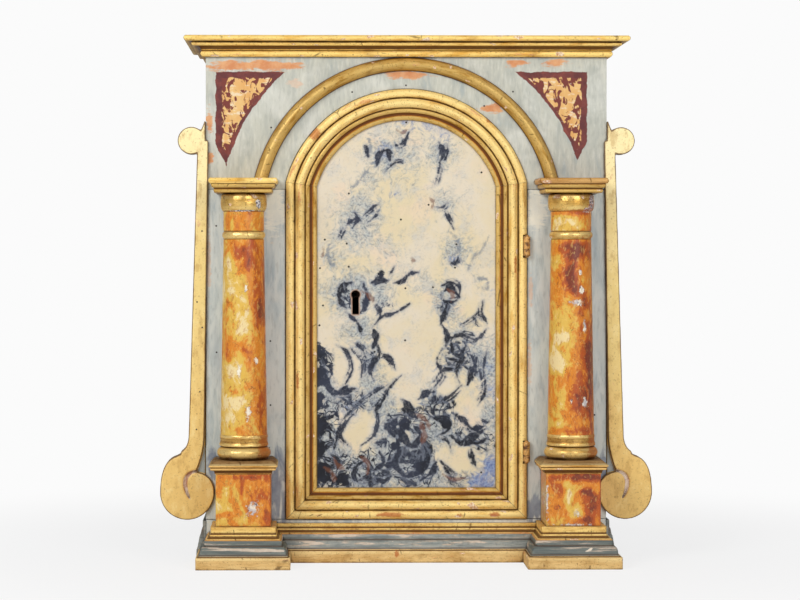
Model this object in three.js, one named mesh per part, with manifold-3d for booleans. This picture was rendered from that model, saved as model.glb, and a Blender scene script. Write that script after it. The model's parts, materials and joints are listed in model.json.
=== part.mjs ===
// Wooden tabernacle: a painted and gilded altar cabinet with an arched, locked door
// between two columns. Millimetres, +Z up, the front faces -Y, the left side is -X.
// Depths are measured from the front plane of the facade boards: +Y runs into the case.
import * as THREE from 'three';
import { mergeVertices } from 'three/addons/utils/BufferGeometryUtils.js';
import Module from 'manifold-3d';

const wasm = await Module();
wasm.setup();

// Clearances
const JOINT_GAP = 0.3; // between pieces that are glued, nailed or seated
const DOOR_GAP = 2; // round the door in its opening
const RUNNING_GAP = 0.5; // round the sliding bolt

// Case boards
const CASE_HEIGHT = 582.5;
const STILE_WIDTH = 88.4;
const FACADE_THICKNESS = 22;
const SIDE_THICKNESS = 16;
const SIDE_DEPTH = 150;
const BACK_THICKNESS = 12;
const BACK_PLANK_NAMES = ['left', 'middle', 'right'];
const TOP_THICKNESS = 16;
const SILL_HEIGHT = 46;
const FLOOR_THICKNESS = 18;
const FLOOR_LIP = 6; // the floor stands above the sill and stops the door
const SEAM_BELOW_SPRING = 7.8; // joint of stiles and spandrel board below the springing

// Door
const DOOR_WIDTH = 265;
const DOOR_SPRING_RISE = 34.8; // the door's arch springs this far above its centre
const PANEL_THICKNESS = 20;
const PANEL_SETBACK = 2; // the panel's face lies behind the facade
const KEYHOLE_FROM_EDGE = 76;
const KEYHOLE_ABOVE_FOOT = 248;
const KEYHOLE_RADIUS = 4.7;
const KEYHOLE_SLOT_WIDTH = 6.7;
const KEYHOLE_DROP = 21.8; // from the round centre to the slot's foot

// Archivolt
const ARCHIVOLT_MARGIN = 21.5; // from the door's arch to the bead
const ARCHIVOLT_HEADROOM = 0.5; // below the cornice
const IMPOST_RISE = 38.2; // top of the abacus above the arch's centre

// Columns and pedestals
const HINGE_CLEARANCE = 5; // between the hinge knuckles and the pedestal caps
const COLUMN_STANDOFF = 30; // from the facade to the column's axis
const DIE_WIDTH = 60;
const DIE_HEIGHT = 57;
const SHAFT_FOOT_RADIUS = 25.6;
const SHAFT_HEAD_RADIUS = 22.3;
const DOWEL_RADIUS = 8;
const DOWEL_LENGTH = 12;

// Mouldings, listed from the foot up or from the outer edge in: [form, projection, run, swell].
// flat: a straight face. slope: a straight taper. bead: a round swelling. starts_upright and
// starts_level: a quarter curve that leaves its lower end along the run, or across it.
const CORNICE_MEMBERS = [
  ['bead', 5.7, 7, 2.2],
  ['flat', 4.9, 0.4],
  ['starts_upright', 12.5, 4.3],
  ['bead', 15.2, 4.3, 1.2],
  ['flat', 13.4, 0.5],
  ['bead', 23.4, 6, 2],
];
const BASE_MEMBERS = [
  ['flat', 21.3, 13],
  ['flat', 18.5, 2],
  ['flat', 17, 0.5],
  ['starts_upright', 13, 8.5],
  ['flat', 11.8, 0.8],
  ['bead', 12.4, 6, 0.6],
  ['flat', 10.5, 1.2],
  ['starts_level', 6.5, 4.5],
  ['flat', 5.5, 8],
];
const FRONT_BASE_FILLET = 5.4; // top member of the base between the feet, lower than theirs
const SKIRT_MEMBERS = [
  ['flat', 10.5, 13],
  ['flat', 9.2, 2],
  ['slope', 6.8, 13],
  ['flat', 6, 1],
  ['slope', 4.4, 7],
  ['flat', 3.4, 8.5],
];
const CAP_MEMBERS = [
  ['flat', 1.2, 1.2],
  ['starts_upright', 5.6, 3.6],
  ['bead', 7.5, 5.2, 0.9],
  ['slope', 2.2, 3.9],
];
const ABACUS_MEMBERS = [
  ['bead', 1.9, 4.3, 0.8],
  ['flat', 1.4, 0.6],
  ['starts_level', 4.7, 4.2],
  ['flat', 4.1, 0.6],
  ['bead', 7.5, 6.2, 1.4],
];
const COLUMN_BASE_MEMBERS = [
  ['bead', 29.6, 14.5, 5],
  ['flat', 27, 2.6],
  ['starts_level', 25.9, 6],
  ['bead', 26.4, 3.9, 0.7],
];
const CAPITAL_MEMBERS = [
  ['bead', 23.7, 9.4, 2.4],
  ['flat', 22.3, 21],
  ['flat', 22.8, 0.5],
  ['starts_level', 25.4, 13.5],
  ['starts_upright', 23.2, 6.3],
];
const ARCHIVOLT_MEMBERS = [['bead', 9.5, 15, 8.5]];
const DOOR_FRAME_MEMBERS = [
  ['bead', 6.2, 9.3, 3],
  ['flat', 2.6, 0.6],
  ['bead', 8.6, 10, 4.2],
  ['flat', 3.2, 0.6],
  ['bead', 5.2, 4.5, 1.2],
  ['starts_level', 2, 3.5],
  ['starts_upright', -1, 4.5],
];

// Side scrolls
const SCROLL_THICKNESS = 18; // behind the facade plane
const SCROLL_RELIEF = 4.8; // proud of the facade plane
const CURL_RADIUS = 15.2;
const CURL_ABOVE_ABACUS = 42.8;
const HORN_WIDTH = 8;
const HORN_HEIGHT = 24.5;
const STRIP_HEAD_WIDTH = 9.5;
const STRIP_FOOT_WIDTH = 19;
const STRIP_FOOT_RISE = 66; // above the volute's centre
const VOLUTE_RADIUS = 30;
const VOLUTE_LIFT = 1.5; // above the base
const VOLUTE_CLEARANCE = 3.7; // between the volute and the pedestal die
const EYE_RADIUS = 20.4;
const EYE_LIFT = 2.4; // the eye's centre above the volute's
const SHOULDER_WIDTH = 33;
const SHOULDER_RISE = 40.5;
const SHOULDER_STEP = 5;
const SPIRAL_DROP = 32; // of the carved groove below the wedge between strip and volute
const SPIRAL_WIDTH = 4;
const SPIRAL_FLOOR = 1; // the groove's floor, proud of the facade plane

// Hinges
const HINGE_HEIGHT = 22;
const KNUCKLE_RADIUS = 4;
const KNUCKLE_COUNT = 3;
const KNUCKLE_GAP = 0.4;
const HINGE_AXIS_PROUD = 4.5; // in front of the facade
const LEAF_THICKNESS = 1.2;
const LEAF_DEPTH = 15; // behind the facade
const PIN_RADIUS = 1.2;
const PIN_HEAD_RADIUS = 2.2;
const PIN_HEAD_HEIGHT = 1.2;
const LOWER_HINGE_ABOVE_FOOT = 73;
const UPPER_HINGE_BELOW_SPRING = 71;

// Lock on the back of the door
const LOCK_INSET = 4.5; // from the door's left edge to the plate
const LOCK_PLATE_THICKNESS = 2;
const LOCK_PLATE_MARGIN = 12.5; // beyond the key's axis
const LOCK_PLATE_BELOW_KEY = 30;
const BOLT_ABOVE_KEY = 17;
const BOLT_HEIGHT = 16;
const BOLT_TAIL_HEIGHT = 11;
const BOLT_HEAD_LENGTH = 34;
const BOLT_THICKNESS = 6;
const BOLT_INSET = 2.5; // withdrawn bolt, from the door's left edge
const TALON_WIDTH = 10;
const TALON_DEPTH = 4;
const TALON_WALL = 6;
const STRAP_THICKNESS = 1.6;
const STRAP_FOOT = 8;
const STRAP_WIDTH = 8;
const HEAD_GUIDE_INSET = 10;
const TAIL_GUIDE_FROM_KEY = 22;
const BRIDGE_HALF_SPAN = 6.5;
const BRIDGE_RISE = 12;
const BRIDGE_FOOT = 5.5;
const BRIDGE_PIN_RADIUS = 2;
const SPRING_THICKNESS = 0.9;
const SPRING_WIDTH = 5;
const SPRING_END_GAP = 2; // to the guides on both sides
const SPRING_BOW = 6;
const SPRING_MARGIN = 5; // plate above the spring's ends
const KEEPER_REACH = 2.5; // from the stile's edge to the keeper
const KEEPER_WIDTH = 10;
const NAIL_RADIUS = 1.1;
const NAIL_HEAD_RADIUS = 2.6;
const NAIL_HEAD_HEIGHT = 1.5;
const NAIL_DEPTH = 9; // into the wood
const NAIL_INSET = 5; // from the plate's corners

// Faceting
const CURVE_STEPS = 3; // along each curved member
const ARCH_STEPS = 22;
const TURNED_SIDES = 20;
const KNUCKLE_SIDES = 12;
const NAIL_SIDES = 8;
const SQUARE_SIDES = 4;
const OUTLINE_STEPS = 7;
const OVERSIZE = 2; // how far cutting tools run past the wood
const SAME_POINT = 0.01; // points of an outline closer than this are one

// Sizes that follow from the ones above
const runOf = (members) => members.reduce((total, member) => total + member[2], 0);
const reachOf = (members) => Math.max(...members.map((member) => member[1]));
const CORNICE_HEIGHT = runOf(CORNICE_MEMBERS);
const BASE_HEIGHT = runOf(BASE_MEMBERS);
const CAP_HEIGHT = runOf(CAP_MEMBERS);
const ABACUS_HEIGHT = runOf(ABACUS_MEMBERS);
const COLUMN_BASE_HEIGHT = runOf(COLUMN_BASE_MEMBERS);
const CAPITAL_HEIGHT = runOf(CAPITAL_MEMBERS);

const DOOR_HALF = DOOR_WIDTH / 2;
const OPENING_HALF = DOOR_HALF + DOOR_GAP;
const CASE_HALF = OPENING_HALF + STILE_WIDTH;
const SIDE_FRONT = FACADE_THICKNESS + JOINT_GAP;
const SIDE_BACK = SIDE_FRONT + SIDE_DEPTH;
const BACK_FRONT = SIDE_BACK + JOINT_GAP;
const CASE_BACK = BACK_FRONT + BACK_THICKNESS;
const TOP_FOOT = CASE_HEIGHT - TOP_THICKNESS;
const WALL_TOP = TOP_FOOT - JOINT_GAP;
const FLOOR_TOP = SILL_HEIGHT + FLOOR_LIP;
const FLOOR_FOOT = FLOOR_TOP - FLOOR_THICKNESS;

const DOOR_RADIUS = Math.hypot(DOOR_HALF, DOOR_SPRING_RISE);
const OPENING_RADIUS = DOOR_RADIUS + DOOR_GAP;
const ARCHIVOLT_OUTER = DOOR_RADIUS + ARCHIVOLT_MARGIN + runOf(ARCHIVOLT_MEMBERS);
const CORNICE_FOOT = CASE_HEIGHT - CORNICE_HEIGHT;
const ARCH_CENTRE = CORNICE_FOOT - ARCHIVOLT_HEADROOM - ARCHIVOLT_OUTER;
const SPRING_Z = ARCH_CENTRE + DOOR_SPRING_RISE;
const STILE_TOP = SPRING_Z - SEAM_BELOW_SPRING;
const DOOR_FOOT = SILL_HEIGHT + DOOR_GAP;
const PANEL_BACK = PANEL_SETBACK + PANEL_THICKNESS;

const HINGE_X = DOOR_HALF + DOOR_GAP / 2;
const HINGE_Y = -HINGE_AXIS_PROUD;
const DIE_HALF = DIE_WIDTH / 2;
const CAP_HALF = DIE_HALF + reachOf(CAP_MEMBERS);
const COLUMN_X = HINGE_X + KNUCKLE_RADIUS + HINGE_CLEARANCE + CAP_HALF;
const ABACUS_TOP = ARCH_CENTRE + IMPOST_RISE;
const DIE_FOOT = BASE_HEIGHT + JOINT_GAP;
const CAP_FOOT = DIE_FOOT + DIE_HEIGHT + JOINT_GAP;
const COLUMN_BASE_FOOT = CAP_FOOT + CAP_HEIGHT + JOINT_GAP;
const SHAFT_FOOT = COLUMN_BASE_FOOT + COLUMN_BASE_HEIGHT + JOINT_GAP;
const ABACUS_FOOT = ABACUS_TOP - ABACUS_HEIGHT;
const CAPITAL_FOOT = ABACUS_FOOT - JOINT_GAP - CAPITAL_HEIGHT;
const SHAFT_HEIGHT = CAPITAL_FOOT - JOINT_GAP - SHAFT_FOOT;

const VOLUTE_LAP = CASE_HALF - COLUMN_X - DIE_HALF - VOLUTE_CLEARANCE; // over the facade
const VOLUTE_OUT = VOLUTE_RADIUS - VOLUTE_LAP;
const VOLUTE_Z = BASE_HEIGHT + VOLUTE_LIFT + VOLUTE_RADIUS;
const STRIP_INNER = 2 * JOINT_GAP; // the strip stands a hair clear of the case
const CURL_OUT = STRIP_INNER + CURL_RADIUS;
const CURL_Z = ABACUS_TOP + CURL_ABOVE_ABACUS;

const KNUCKLE_HEIGHT = (HINGE_HEIGHT - (KNUCKLE_COUNT - 1) * KNUCKLE_GAP) / KNUCKLE_COUNT;
const KNUCKLE_PITCH = KNUCKLE_HEIGHT + KNUCKLE_GAP;
const HINGES = [
  ['upper', SPRING_Z - UPPER_HINGE_BELOW_SPRING],
  ['lower', DOOR_FOOT + LOWER_HINGE_ABOVE_FOOT],
];

const KEY_X = KEYHOLE_FROM_EDGE - DOOR_HALF;
const KEY_Z = DOOR_FOOT + KEYHOLE_ABOVE_FOOT;
const BOLT_Z = KEY_Z + BOLT_ABOVE_KEY;
const PLATE_LEFT = LOCK_INSET - DOOR_HALF;
const PLATE_RIGHT = KEY_X + LOCK_PLATE_MARGIN;
const PLATE_FOOT = KEY_Z - LOCK_PLATE_BELOW_KEY;
const SPRING_FOOT_Z = BOLT_Z + BOLT_HEIGHT / 2 + JOINT_GAP;
const PLATE_TOP = SPRING_FOOT_Z + SPRING_BOW + SPRING_THICKNESS + SPRING_MARGIN;
const PLATE_FRONT = PANEL_BACK + JOINT_GAP;
const PLATE_BACK = PLATE_FRONT + LOCK_PLATE_THICKNESS;
const BOLT_FRONT = PLATE_BACK + RUNNING_GAP;
const BOLT_BACK = BOLT_FRONT + BOLT_THICKNESS;
const BOLT_LEFT = BOLT_INSET - DOOR_HALF;
const BOLT_RIGHT = KEY_X + TALON_WIDTH / 2 + TALON_WALL;
const STRAP_BASE = PLATE_BACK + JOINT_GAP;
const KEEPER_BASE = FACADE_THICKNESS + JOINT_GAP;
const KEEPER_RIGHT = -OPENING_HALF - KEEPER_REACH;

// Finishes: colour, roughness and metalness
const FINISHES = {
  gilded: [0xb98a3a, 0.45, 0.55],
  painted: [0xa9b0b0, 0.75, 0],
  marbled_orange: [0xc8742a, 0.5, 0],
  marbled_cream: [0xd8d0be, 0.6, 0],
  bare: [0x7a5c3e, 0.85, 0],
  iron: [0x4a423a, 0.6, 0.7],
};

// Geometry helpers

function signedVolume(geometry) {
  const position = geometry.getAttribute('position');
  const index = geometry.getIndex();
  const a = new THREE.Vector3();
  const b = new THREE.Vector3();
  const c = new THREE.Vector3();
  let sixTimes = 0;
  for (let i = 0; i < index.count; i += 3) {
    a.fromBufferAttribute(position, index.getX(i));
    b.fromBufferAttribute(position, index.getX(i + 1));
    c.fromBufferAttribute(position, index.getX(i + 2));
    sixTimes += a.dot(b.cross(c));
  }
  return sixTimes / 6;
}

// One closed skin: shared vertices merged, empty triangles dropped, faces pointing out
function closed(geometry) {
  const bare = geometry.clone();
  bare.deleteAttribute('normal');
  bare.deleteAttribute('uv');
  const merged = mergeVertices(bare);
  const corners = merged.getIndex().array;
  const kept = [];
  for (let i = 0; i < corners.length; i += 3) {
    const [a, b, c] = [corners[i], corners[i + 1], corners[i + 2]];
    if (a !== b && b !== c && c !== a) kept.push(a, b, c);
  }
  merged.setIndex(kept);
  if (signedVolume(merged) < 0) {
    for (let i = 0; i < kept.length; i += 3) [kept[i], kept[i + 1]] = [kept[i + 1], kept[i]];
    merged.setIndex(kept);
  }
  return merged;
}

function solidOf(geometry) {
  const skin = closed(geometry);
  return new wasm.Manifold(new wasm.Mesh({
    numProp: 3,
    vertProperties: new Float32Array(skin.getAttribute('position').array),
    triVerts: new Uint32Array(skin.getIndex().array),
  }));
}

function geometryOf(solid) {
  const mesh = solid.getMesh();
  const geometry = new THREE.BufferGeometry();
  geometry.setAttribute('position', new THREE.BufferAttribute(mesh.vertProperties, 3));
  geometry.setIndex(new THREE.BufferAttribute(mesh.triVerts, 1));
  return geometry;
}

function cut(geometry, ...tools) {
  return geometryOf(tools.reduce((solid, tool) => solid.subtract(solidOf(tool)), solidOf(geometry)));
}

function join(geometry, ...others) {
  return geometryOf(others.reduce((solid, other) => solid.add(solidOf(other)), solidOf(geometry)));
}

function box(low, high) {
  const size = high.map((value, axis) => value - low[axis]);
  const geometry = new THREE.BoxGeometry(...size);
  return geometry.translate(...low.map((value, axis) => value + size[axis] / 2));
}

// A board drawn from the front, as X and Z, between two depths
function frontBoard(shape, front, back) {
  const options = { depth: back - front, bevelEnabled: false, curveSegments: OUTLINE_STEPS };
  return new THREE.ExtrudeGeometry(shape, options).rotateX(Math.PI / 2).translate(0, back, 0);
}

function polygon(points) {
  return new THREE.Shape(points.map(([across, up]) => new THREE.Vector2(across, up)));
}

// A round bar along Z
function bar(radius, low, high, sides) {
  return new THREE.CylinderGeometry(radius, radius, high - low, sides)
    .rotateX(Math.PI / 2)
    .translate(0, 0, (low + high) / 2);
}

// The tool of a nail's hole, along Y
function bore(x, z, radius, front, back) {
  return new THREE.CylinderGeometry(radius, radius, back - front, NAIL_SIDES)
    .translate(x, (front + back) / 2, z);
}

// The face of a moulding as points: projection and run
function mouldingFace(members, base = 0) {
  const path = new THREE.Path();
  let run = 0;
  let at = null;
  const reach = (projection, along) => {
    if (at === null) path.moveTo(base + projection, along);
    else path.lineTo(base + projection, along);
    at = projection;
  };
  for (const [form, projection, length, swell] of members) {
    const end = run + length;
    if (form === 'bead') {
      reach(projection - swell, run);
      path.quadraticCurveTo(base + projection + swell, (run + end) / 2, base + at, end);
    } else if (form === 'starts_upright') {
      path.quadraticCurveTo(base + at, end, base + projection, end);
      at = projection;
    } else if (form === 'starts_level') {
      path.quadraticCurveTo(base + projection, run, base + projection, end);
      at = projection;
    } else if (form === 'slope') {
      reach(projection, end);
    } else {
      reach(projection, run);
      reach(projection, end);
    }
    run = end;
  }
  const points = path.getPoints(CURVE_STEPS);
  return points.filter((point, i) => i === 0 || point.distanceTo(points[i - 1]) > SAME_POINT);
}

// A moulding's face closed along its back
function mouldingOutline(members, back = 0) {
  const face = mouldingFace(members);
  const shape = face.map((point) => [point.x, point.y]);
  return polygon([[back, 0], ...shape, [back, face.at(-1).y]]);
}

// Carry an outline along a run: place(projection, rise, share of the run) gives each point
function sweep(outline, steps, place) {
  const geometry = new THREE.ExtrudeGeometry(outline, { depth: 1, steps, bevelEnabled: false });
  const position = geometry.getAttribute('position');
  for (let i = 0; i < position.count; i += 1) {
    const point = place(position.getX(i), position.getY(i), position.getZ(i));
    position.setXYZ(i, ...point);
  }
  return geometry;
}

// A turned solid about Z; with four sides it is a square moulding of that half width
function turned(members, base, foot, sides) {
  const square = sides === SQUARE_SIDES;
  const widen = square ? Math.SQRT2 : 1;
  const face = mouldingFace(members, base).map((point) => new THREE.Vector2(point.x * widen, point.y));
  const height = face.at(-1).y;
  const profile = [new THREE.Vector2(0, 0), ...face, new THREE.Vector2(0, height)];
  const geometry = new THREE.LatheGeometry(profile, sides).rotateX(Math.PI / 2);
  if (square) geometry.rotateZ(Math.PI / 4);
  return geometry.translate(0, 0, foot);
}

// Scene graph helpers

const tabernacle = new THREE.Group();

function piece(name, finish, geometry, group = tabernacle) {
  const [color, roughness, metalness] = FINISHES[finish];
  const material = new THREE.MeshStandardMaterial({ color, roughness, metalness, flatShading: true });
  const mesh = new THREE.Mesh(closed(geometry), material);
  mesh.name = name;
  group.add(mesh);
  return mesh;
}

const SIDES = [['left', -1], ['right', 1]];

// Boards of the case

function hingeMortise(z, inner, outer) {
  const half = HINGE_HEIGHT / 2 + JOINT_GAP;
  return box([inner, -OVERSIZE - HINGE_AXIS_PROUD, z - half], [outer, LEAF_DEPTH + JOINT_GAP, z + half]);
}

function archedOutline(half, rise, foot) {
  const radius = Math.hypot(half, rise);
  const start = Math.atan2(rise, half);
  const shape = new THREE.Shape();
  shape.moveTo(-half, foot);
  shape.lineTo(half, foot);
  shape.lineTo(half, ARCH_CENTRE + rise);
  shape.absarc(0, ARCH_CENTRE, radius, start, Math.PI - start, false);
  return shape;
}

function caseBoards() {
  const openingRise = Math.sqrt(OPENING_RADIUS ** 2 - OPENING_HALF ** 2);
  const opening = archedOutline(OPENING_HALF, openingRise, STILE_TOP - OVERSIZE);
  const board = box([-CASE_HALF, 0, STILE_TOP + JOINT_GAP], [CASE_HALF, FACADE_THICKNESS, WALL_TOP]);
  const openingTool = frontBoard(opening, -OVERSIZE, FACADE_THICKNESS + OVERSIZE);
  piece('spandrel_board', 'painted', cut(board, openingTool));

  const stileFoot = SILL_HEIGHT + JOINT_GAP;
  const leftStile = box([-CASE_HALF, 0, stileFoot], [-OPENING_HALF, FACADE_THICKNESS, STILE_TOP]);
  const keeperHoles = keeperNailHeights().map((z) => bore(
    keeperNailX(), z, NAIL_RADIUS + JOINT_GAP,
    FACADE_THICKNESS - NAIL_DEPTH - JOINT_GAP, FACADE_THICKNESS + OVERSIZE,
  ));
  piece('left_stile', 'painted', cut(leftStile, ...keeperHoles));

  const rightStile = box([OPENING_HALF, 0, stileFoot], [CASE_HALF, FACADE_THICKNESS, STILE_TOP]);
  const mortises = HINGES.map(([, z]) => hingeMortise(
    z, OPENING_HALF - OVERSIZE, OPENING_HALF + LEAF_THICKNESS + JOINT_GAP,
  ));
  piece('right_stile', 'painted', cut(rightStile, ...mortises));

  piece('sill_rail', 'bare', box([-CASE_HALF, 0, 0], [CASE_HALF, FACADE_THICKNESS, SILL_HEIGHT]));
  for (const [name, side] of SIDES) {
    const inner = side * (CASE_HALF - SIDE_THICKNESS);
    const low = Math.min(inner, side * CASE_HALF);
    const high = Math.max(inner, side * CASE_HALF);
    piece(`${name}_side_board`, 'painted', box([low, SIDE_FRONT, 0], [high, SIDE_BACK, WALL_TOP]));
  }
  const floorHalf = CASE_HALF - SIDE_THICKNESS - JOINT_GAP;
  piece('floor_board', 'bare', box([-floorHalf, SIDE_FRONT, FLOOR_FOOT], [floorHalf, SIDE_BACK, FLOOR_TOP]));
  piece('top_board', 'bare', box([-CASE_HALF, 0, TOP_FOOT], [CASE_HALF, CASE_BACK, CASE_HEIGHT]));

  const plankPitch = (2 * CASE_HALF + JOINT_GAP) / BACK_PLANK_NAMES.length;
  BACK_PLANK_NAMES.forEach((name, i) => {
    const left = -CASE_HALF + i * plankPitch;
    const right = left + plankPitch - JOINT_GAP;
    piece(`back_plank_${name}`, 'bare', box([left, BACK_FRONT, 0], [right, CASE_BACK, WALL_TOP]));
  });
}

// Mouldings of the case

function caseMouldings() {
  const cornice = mouldingOutline(CORNICE_MEMBERS);
  piece('cornice_front', 'gilded', sweep(cornice, 1, (out, rise, share) => [
    (2 * share - 1) * (CASE_HALF + out), -JOINT_GAP - out, CORNICE_FOOT + rise,
  ]));
  for (const [name, side] of SIDES) {
    piece(`cornice_${name}`, 'gilded', sweep(cornice, 1, (out, rise, share) => [
      side * (CASE_HALF + JOINT_GAP + out), THREE.MathUtils.lerp(-out, CASE_BACK, share), CORNICE_FOOT + rise,
    ]));
  }

  // The base between the feet is coped round their mouldings
  const copeMembers = [
    ['flat', BASE_MEMBERS.at(0)[1], OVERSIZE],
    ...BASE_MEMBERS,
    ['flat', BASE_MEMBERS.at(-1)[1], OVERSIZE],
  ];
  const footTools = SIDES.map(([, side]) => turned(copeMembers, DIE_HALF + JOINT_GAP, -OVERSIZE, SQUARE_SIDES)
    .translate(side * COLUMN_X, -COLUMN_STANDOFF, 0));
  const baseHalf = COLUMN_X - DIE_HALF;
  const frontMembers = [...BASE_MEMBERS.slice(0, -1), ['flat', BASE_MEMBERS.at(-1)[1], FRONT_BASE_FILLET]];
  const base = sweep(mouldingOutline(frontMembers), 1, (out, rise, share) => [
    (2 * share - 1) * baseHalf, -JOINT_GAP - out, rise,
  ]);
  piece('base_front', 'gilded', cut(base, ...footTools));
  for (const [name, side] of SIDES) {
    piece(`base_${name}`, 'painted', sweep(mouldingOutline(SKIRT_MEMBERS), 1, (out, rise, share) => [
      side * (CASE_HALF + JOINT_GAP + out), share * CASE_BACK, rise,
    ]));
  }

  // The archivolt lands on the two abaci
  const bead = sweep(mouldingOutline(ARCHIVOLT_MEMBERS), ARCH_STEPS, (out, inward, share) => {
    const angle = Math.PI * share;
    const radius = ARCHIVOLT_OUTER - inward;
    return [-radius * Math.cos(angle), -JOINT_GAP - out, ARCH_CENTRE + radius * Math.sin(angle)];
  });
  const belowAbacus = box(
    [-ARCHIVOLT_OUTER - OVERSIZE, -ARCHIVOLT_OUTER, ARCH_CENTRE - ARCHIVOLT_OUTER],
    [ARCHIVOLT_OUTER + OVERSIZE, ARCHIVOLT_OUTER, ABACUS_TOP + JOINT_GAP],
  );
  piece('archivolt_bead', 'gilded', cut(bead, belowAbacus));
}

// Columns on their pedestals

function column(name, side) {
  const group = new THREE.Group();
  group.position.set(side * COLUMN_X, -COLUMN_STANDOFF, 0);
  tabernacle.add(group);

  const reach = CASE_HALF;
  const facade = box([-reach, COLUMN_STANDOFF - JOINT_GAP, -OVERSIZE], [reach, reach, CASE_HEIGHT]);
  const square = (members, foot) => cut(turned(members, DIE_HALF, foot, SQUARE_SIDES), facade);
  piece(`${name}_pedestal_base`, 'gilded', square(BASE_MEMBERS, 0), group);
  piece(`${name}_pedestal_die`, 'marbled_orange', square([['flat', 0, DIE_HEIGHT]], DIE_FOOT), group);
  piece(`${name}_pedestal_cap`, 'gilded', square(CAP_MEMBERS, CAP_FOOT), group);
  piece(`${name}_abacus`, 'gilded', square(ABACUS_MEMBERS, ABACUS_FOOT), group);

  const socket = DOWEL_RADIUS + JOINT_GAP;
  const depth = DOWEL_LENGTH + JOINT_GAP;
  const baseTop = COLUMN_BASE_FOOT + COLUMN_BASE_HEIGHT;
  const round = (members, foot) => turned(members, 0, foot, TURNED_SIDES);
  piece(`${name}_column_base`, 'gilded', cut(
    round(COLUMN_BASE_MEMBERS, COLUMN_BASE_FOOT),
    bar(socket, baseTop - depth, baseTop + OVERSIZE, TURNED_SIDES),
  ), group);
  piece(`${name}_column_capital`, 'gilded', cut(
    round(CAPITAL_MEMBERS, CAPITAL_FOOT),
    bar(socket, CAPITAL_FOOT - OVERSIZE, CAPITAL_FOOT + depth, TURNED_SIDES),
  ), group);
  const shaft = [
    ['flat', DOWEL_RADIUS, DOWEL_LENGTH],
    ['flat', SHAFT_FOOT_RADIUS, 0],
    ['slope', SHAFT_HEAD_RADIUS, SHAFT_HEIGHT],
    ['flat', DOWEL_RADIUS, DOWEL_LENGTH],
  ];
  piece(`${name}_column_shaft`, 'marbled_orange', round(shaft, SHAFT_FOOT - DOWEL_LENGTH), group);
}

// Side scrolls, drawn outwards from the case's side

function scrollOutline() {
  const shape = new THREE.Shape();
  const eyeOut = EYE_RADIUS - VOLUTE_LAP;
  const eyeZ = VOLUTE_Z + EYE_LIFT;
  const wedgeZ = eyeZ + EYE_RADIUS;
  const stripFootZ = VOLUTE_Z + STRIP_FOOT_RISE;
  const shoulderZ = VOLUTE_Z + SHOULDER_RISE;
  shape.moveTo(STRIP_INNER, CURL_Z);
  shape.lineTo(STRIP_INNER, stripFootZ);
  shape.quadraticCurveTo(STRIP_INNER, (stripFootZ + wedgeZ) / 2, eyeOut, wedgeZ);
  shape.absarc(eyeOut, eyeZ, EYE_RADIUS, Math.PI / 2, Math.PI, false);
  shape.lineTo(-VOLUTE_LAP, VOLUTE_Z);
  shape.absarc(VOLUTE_OUT, VOLUTE_Z, VOLUTE_RADIUS, Math.PI, 2 * Math.PI, false);
  shape.quadraticCurveTo(VOLUTE_OUT + VOLUTE_RADIUS, shoulderZ - SHOULDER_STEP, SHOULDER_WIDTH, shoulderZ);
  shape.lineTo(SHOULDER_WIDTH - SHOULDER_STEP, shoulderZ + SHOULDER_STEP / 2);
  shape.lineTo(SHOULDER_WIDTH - SHOULDER_STEP, shoulderZ + SHOULDER_STEP);
  shape.quadraticCurveTo(STRIP_FOOT_WIDTH, shoulderZ + 2 * SHOULDER_STEP, STRIP_FOOT_WIDTH, stripFootZ);
  const meet = Math.acos((CURL_OUT - STRIP_HEAD_WIDTH) / CURL_RADIUS);
  shape.lineTo(STRIP_HEAD_WIDTH, CURL_Z - CURL_RADIUS * Math.sin(meet));
  shape.absarc(CURL_OUT, CURL_Z, CURL_RADIUS, Math.PI + meet, 3 * Math.PI, false);
  return { shape, eyeOut, eyeZ, wedgeZ, stripFootZ };
}

function scroll(name, side) {
  const { shape, eyeOut, eyeZ, wedgeZ, stripFootZ } = scrollOutline();
  const relief = frontBoard(shape, -SCROLL_RELIEF, SCROLL_THICKNESS);

  // The sunk wedge between strip and volute, and the horn above the curl, lie level with the facade
  const wedge = polygon([
    [0, stripFootZ], [0, eyeZ], [eyeOut, eyeZ], [eyeOut, wedgeZ + OVERSIZE],
    [STRIP_HEAD_WIDTH / 2, stripFootZ],
  ]);
  const horn = polygon([[0, CURL_Z + HORN_HEIGHT], [0, CURL_Z], [HORN_WIDTH, CURL_Z + CURL_RADIUS / 2]]);
  const ground = [wedge, horn].map((outline) => frontBoard(outline, 0, SCROLL_THICKNESS));

  // The carved spiral runs on from the wedge round the eye
  const spiral = new THREE.Shape();
  const halfSpiral = SPIRAL_WIDTH / 2;
  const start = eyeOut - SPIRAL_WIDTH;
  const end = wedgeZ - SPIRAL_DROP;
  const far = eyeOut + EYE_RADIUS;
  const near = eyeOut + EYE_RADIUS / 2;
  spiral.moveTo(start, wedgeZ + halfSpiral);
  spiral.bezierCurveTo(near + halfSpiral, wedgeZ, far, end + EYE_RADIUS / 2, near, end);
  spiral.bezierCurveTo(far - SPIRAL_WIDTH, eyeZ, near, wedgeZ - halfSpiral, start, wedgeZ - halfSpiral);
  const groove = frontBoard(spiral, -SCROLL_RELIEF - OVERSIZE, -SPIRAL_FLOOR);

  const facade = box(
    [-VOLUTE_LAP - OVERSIZE, -JOINT_GAP, 0],
    [JOINT_GAP, SCROLL_THICKNESS + OVERSIZE, CASE_HEIGHT],
  );
  const carved = cut(join(relief, ...ground), groove, facade);
  const placed = carved.clone().translate(CASE_HALF, 0, 0);
  if (side < 0) placed.scale(-1, 1, 1);
  piece(`${name}_scroll`, 'gilded', placed);
}

// Door

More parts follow.
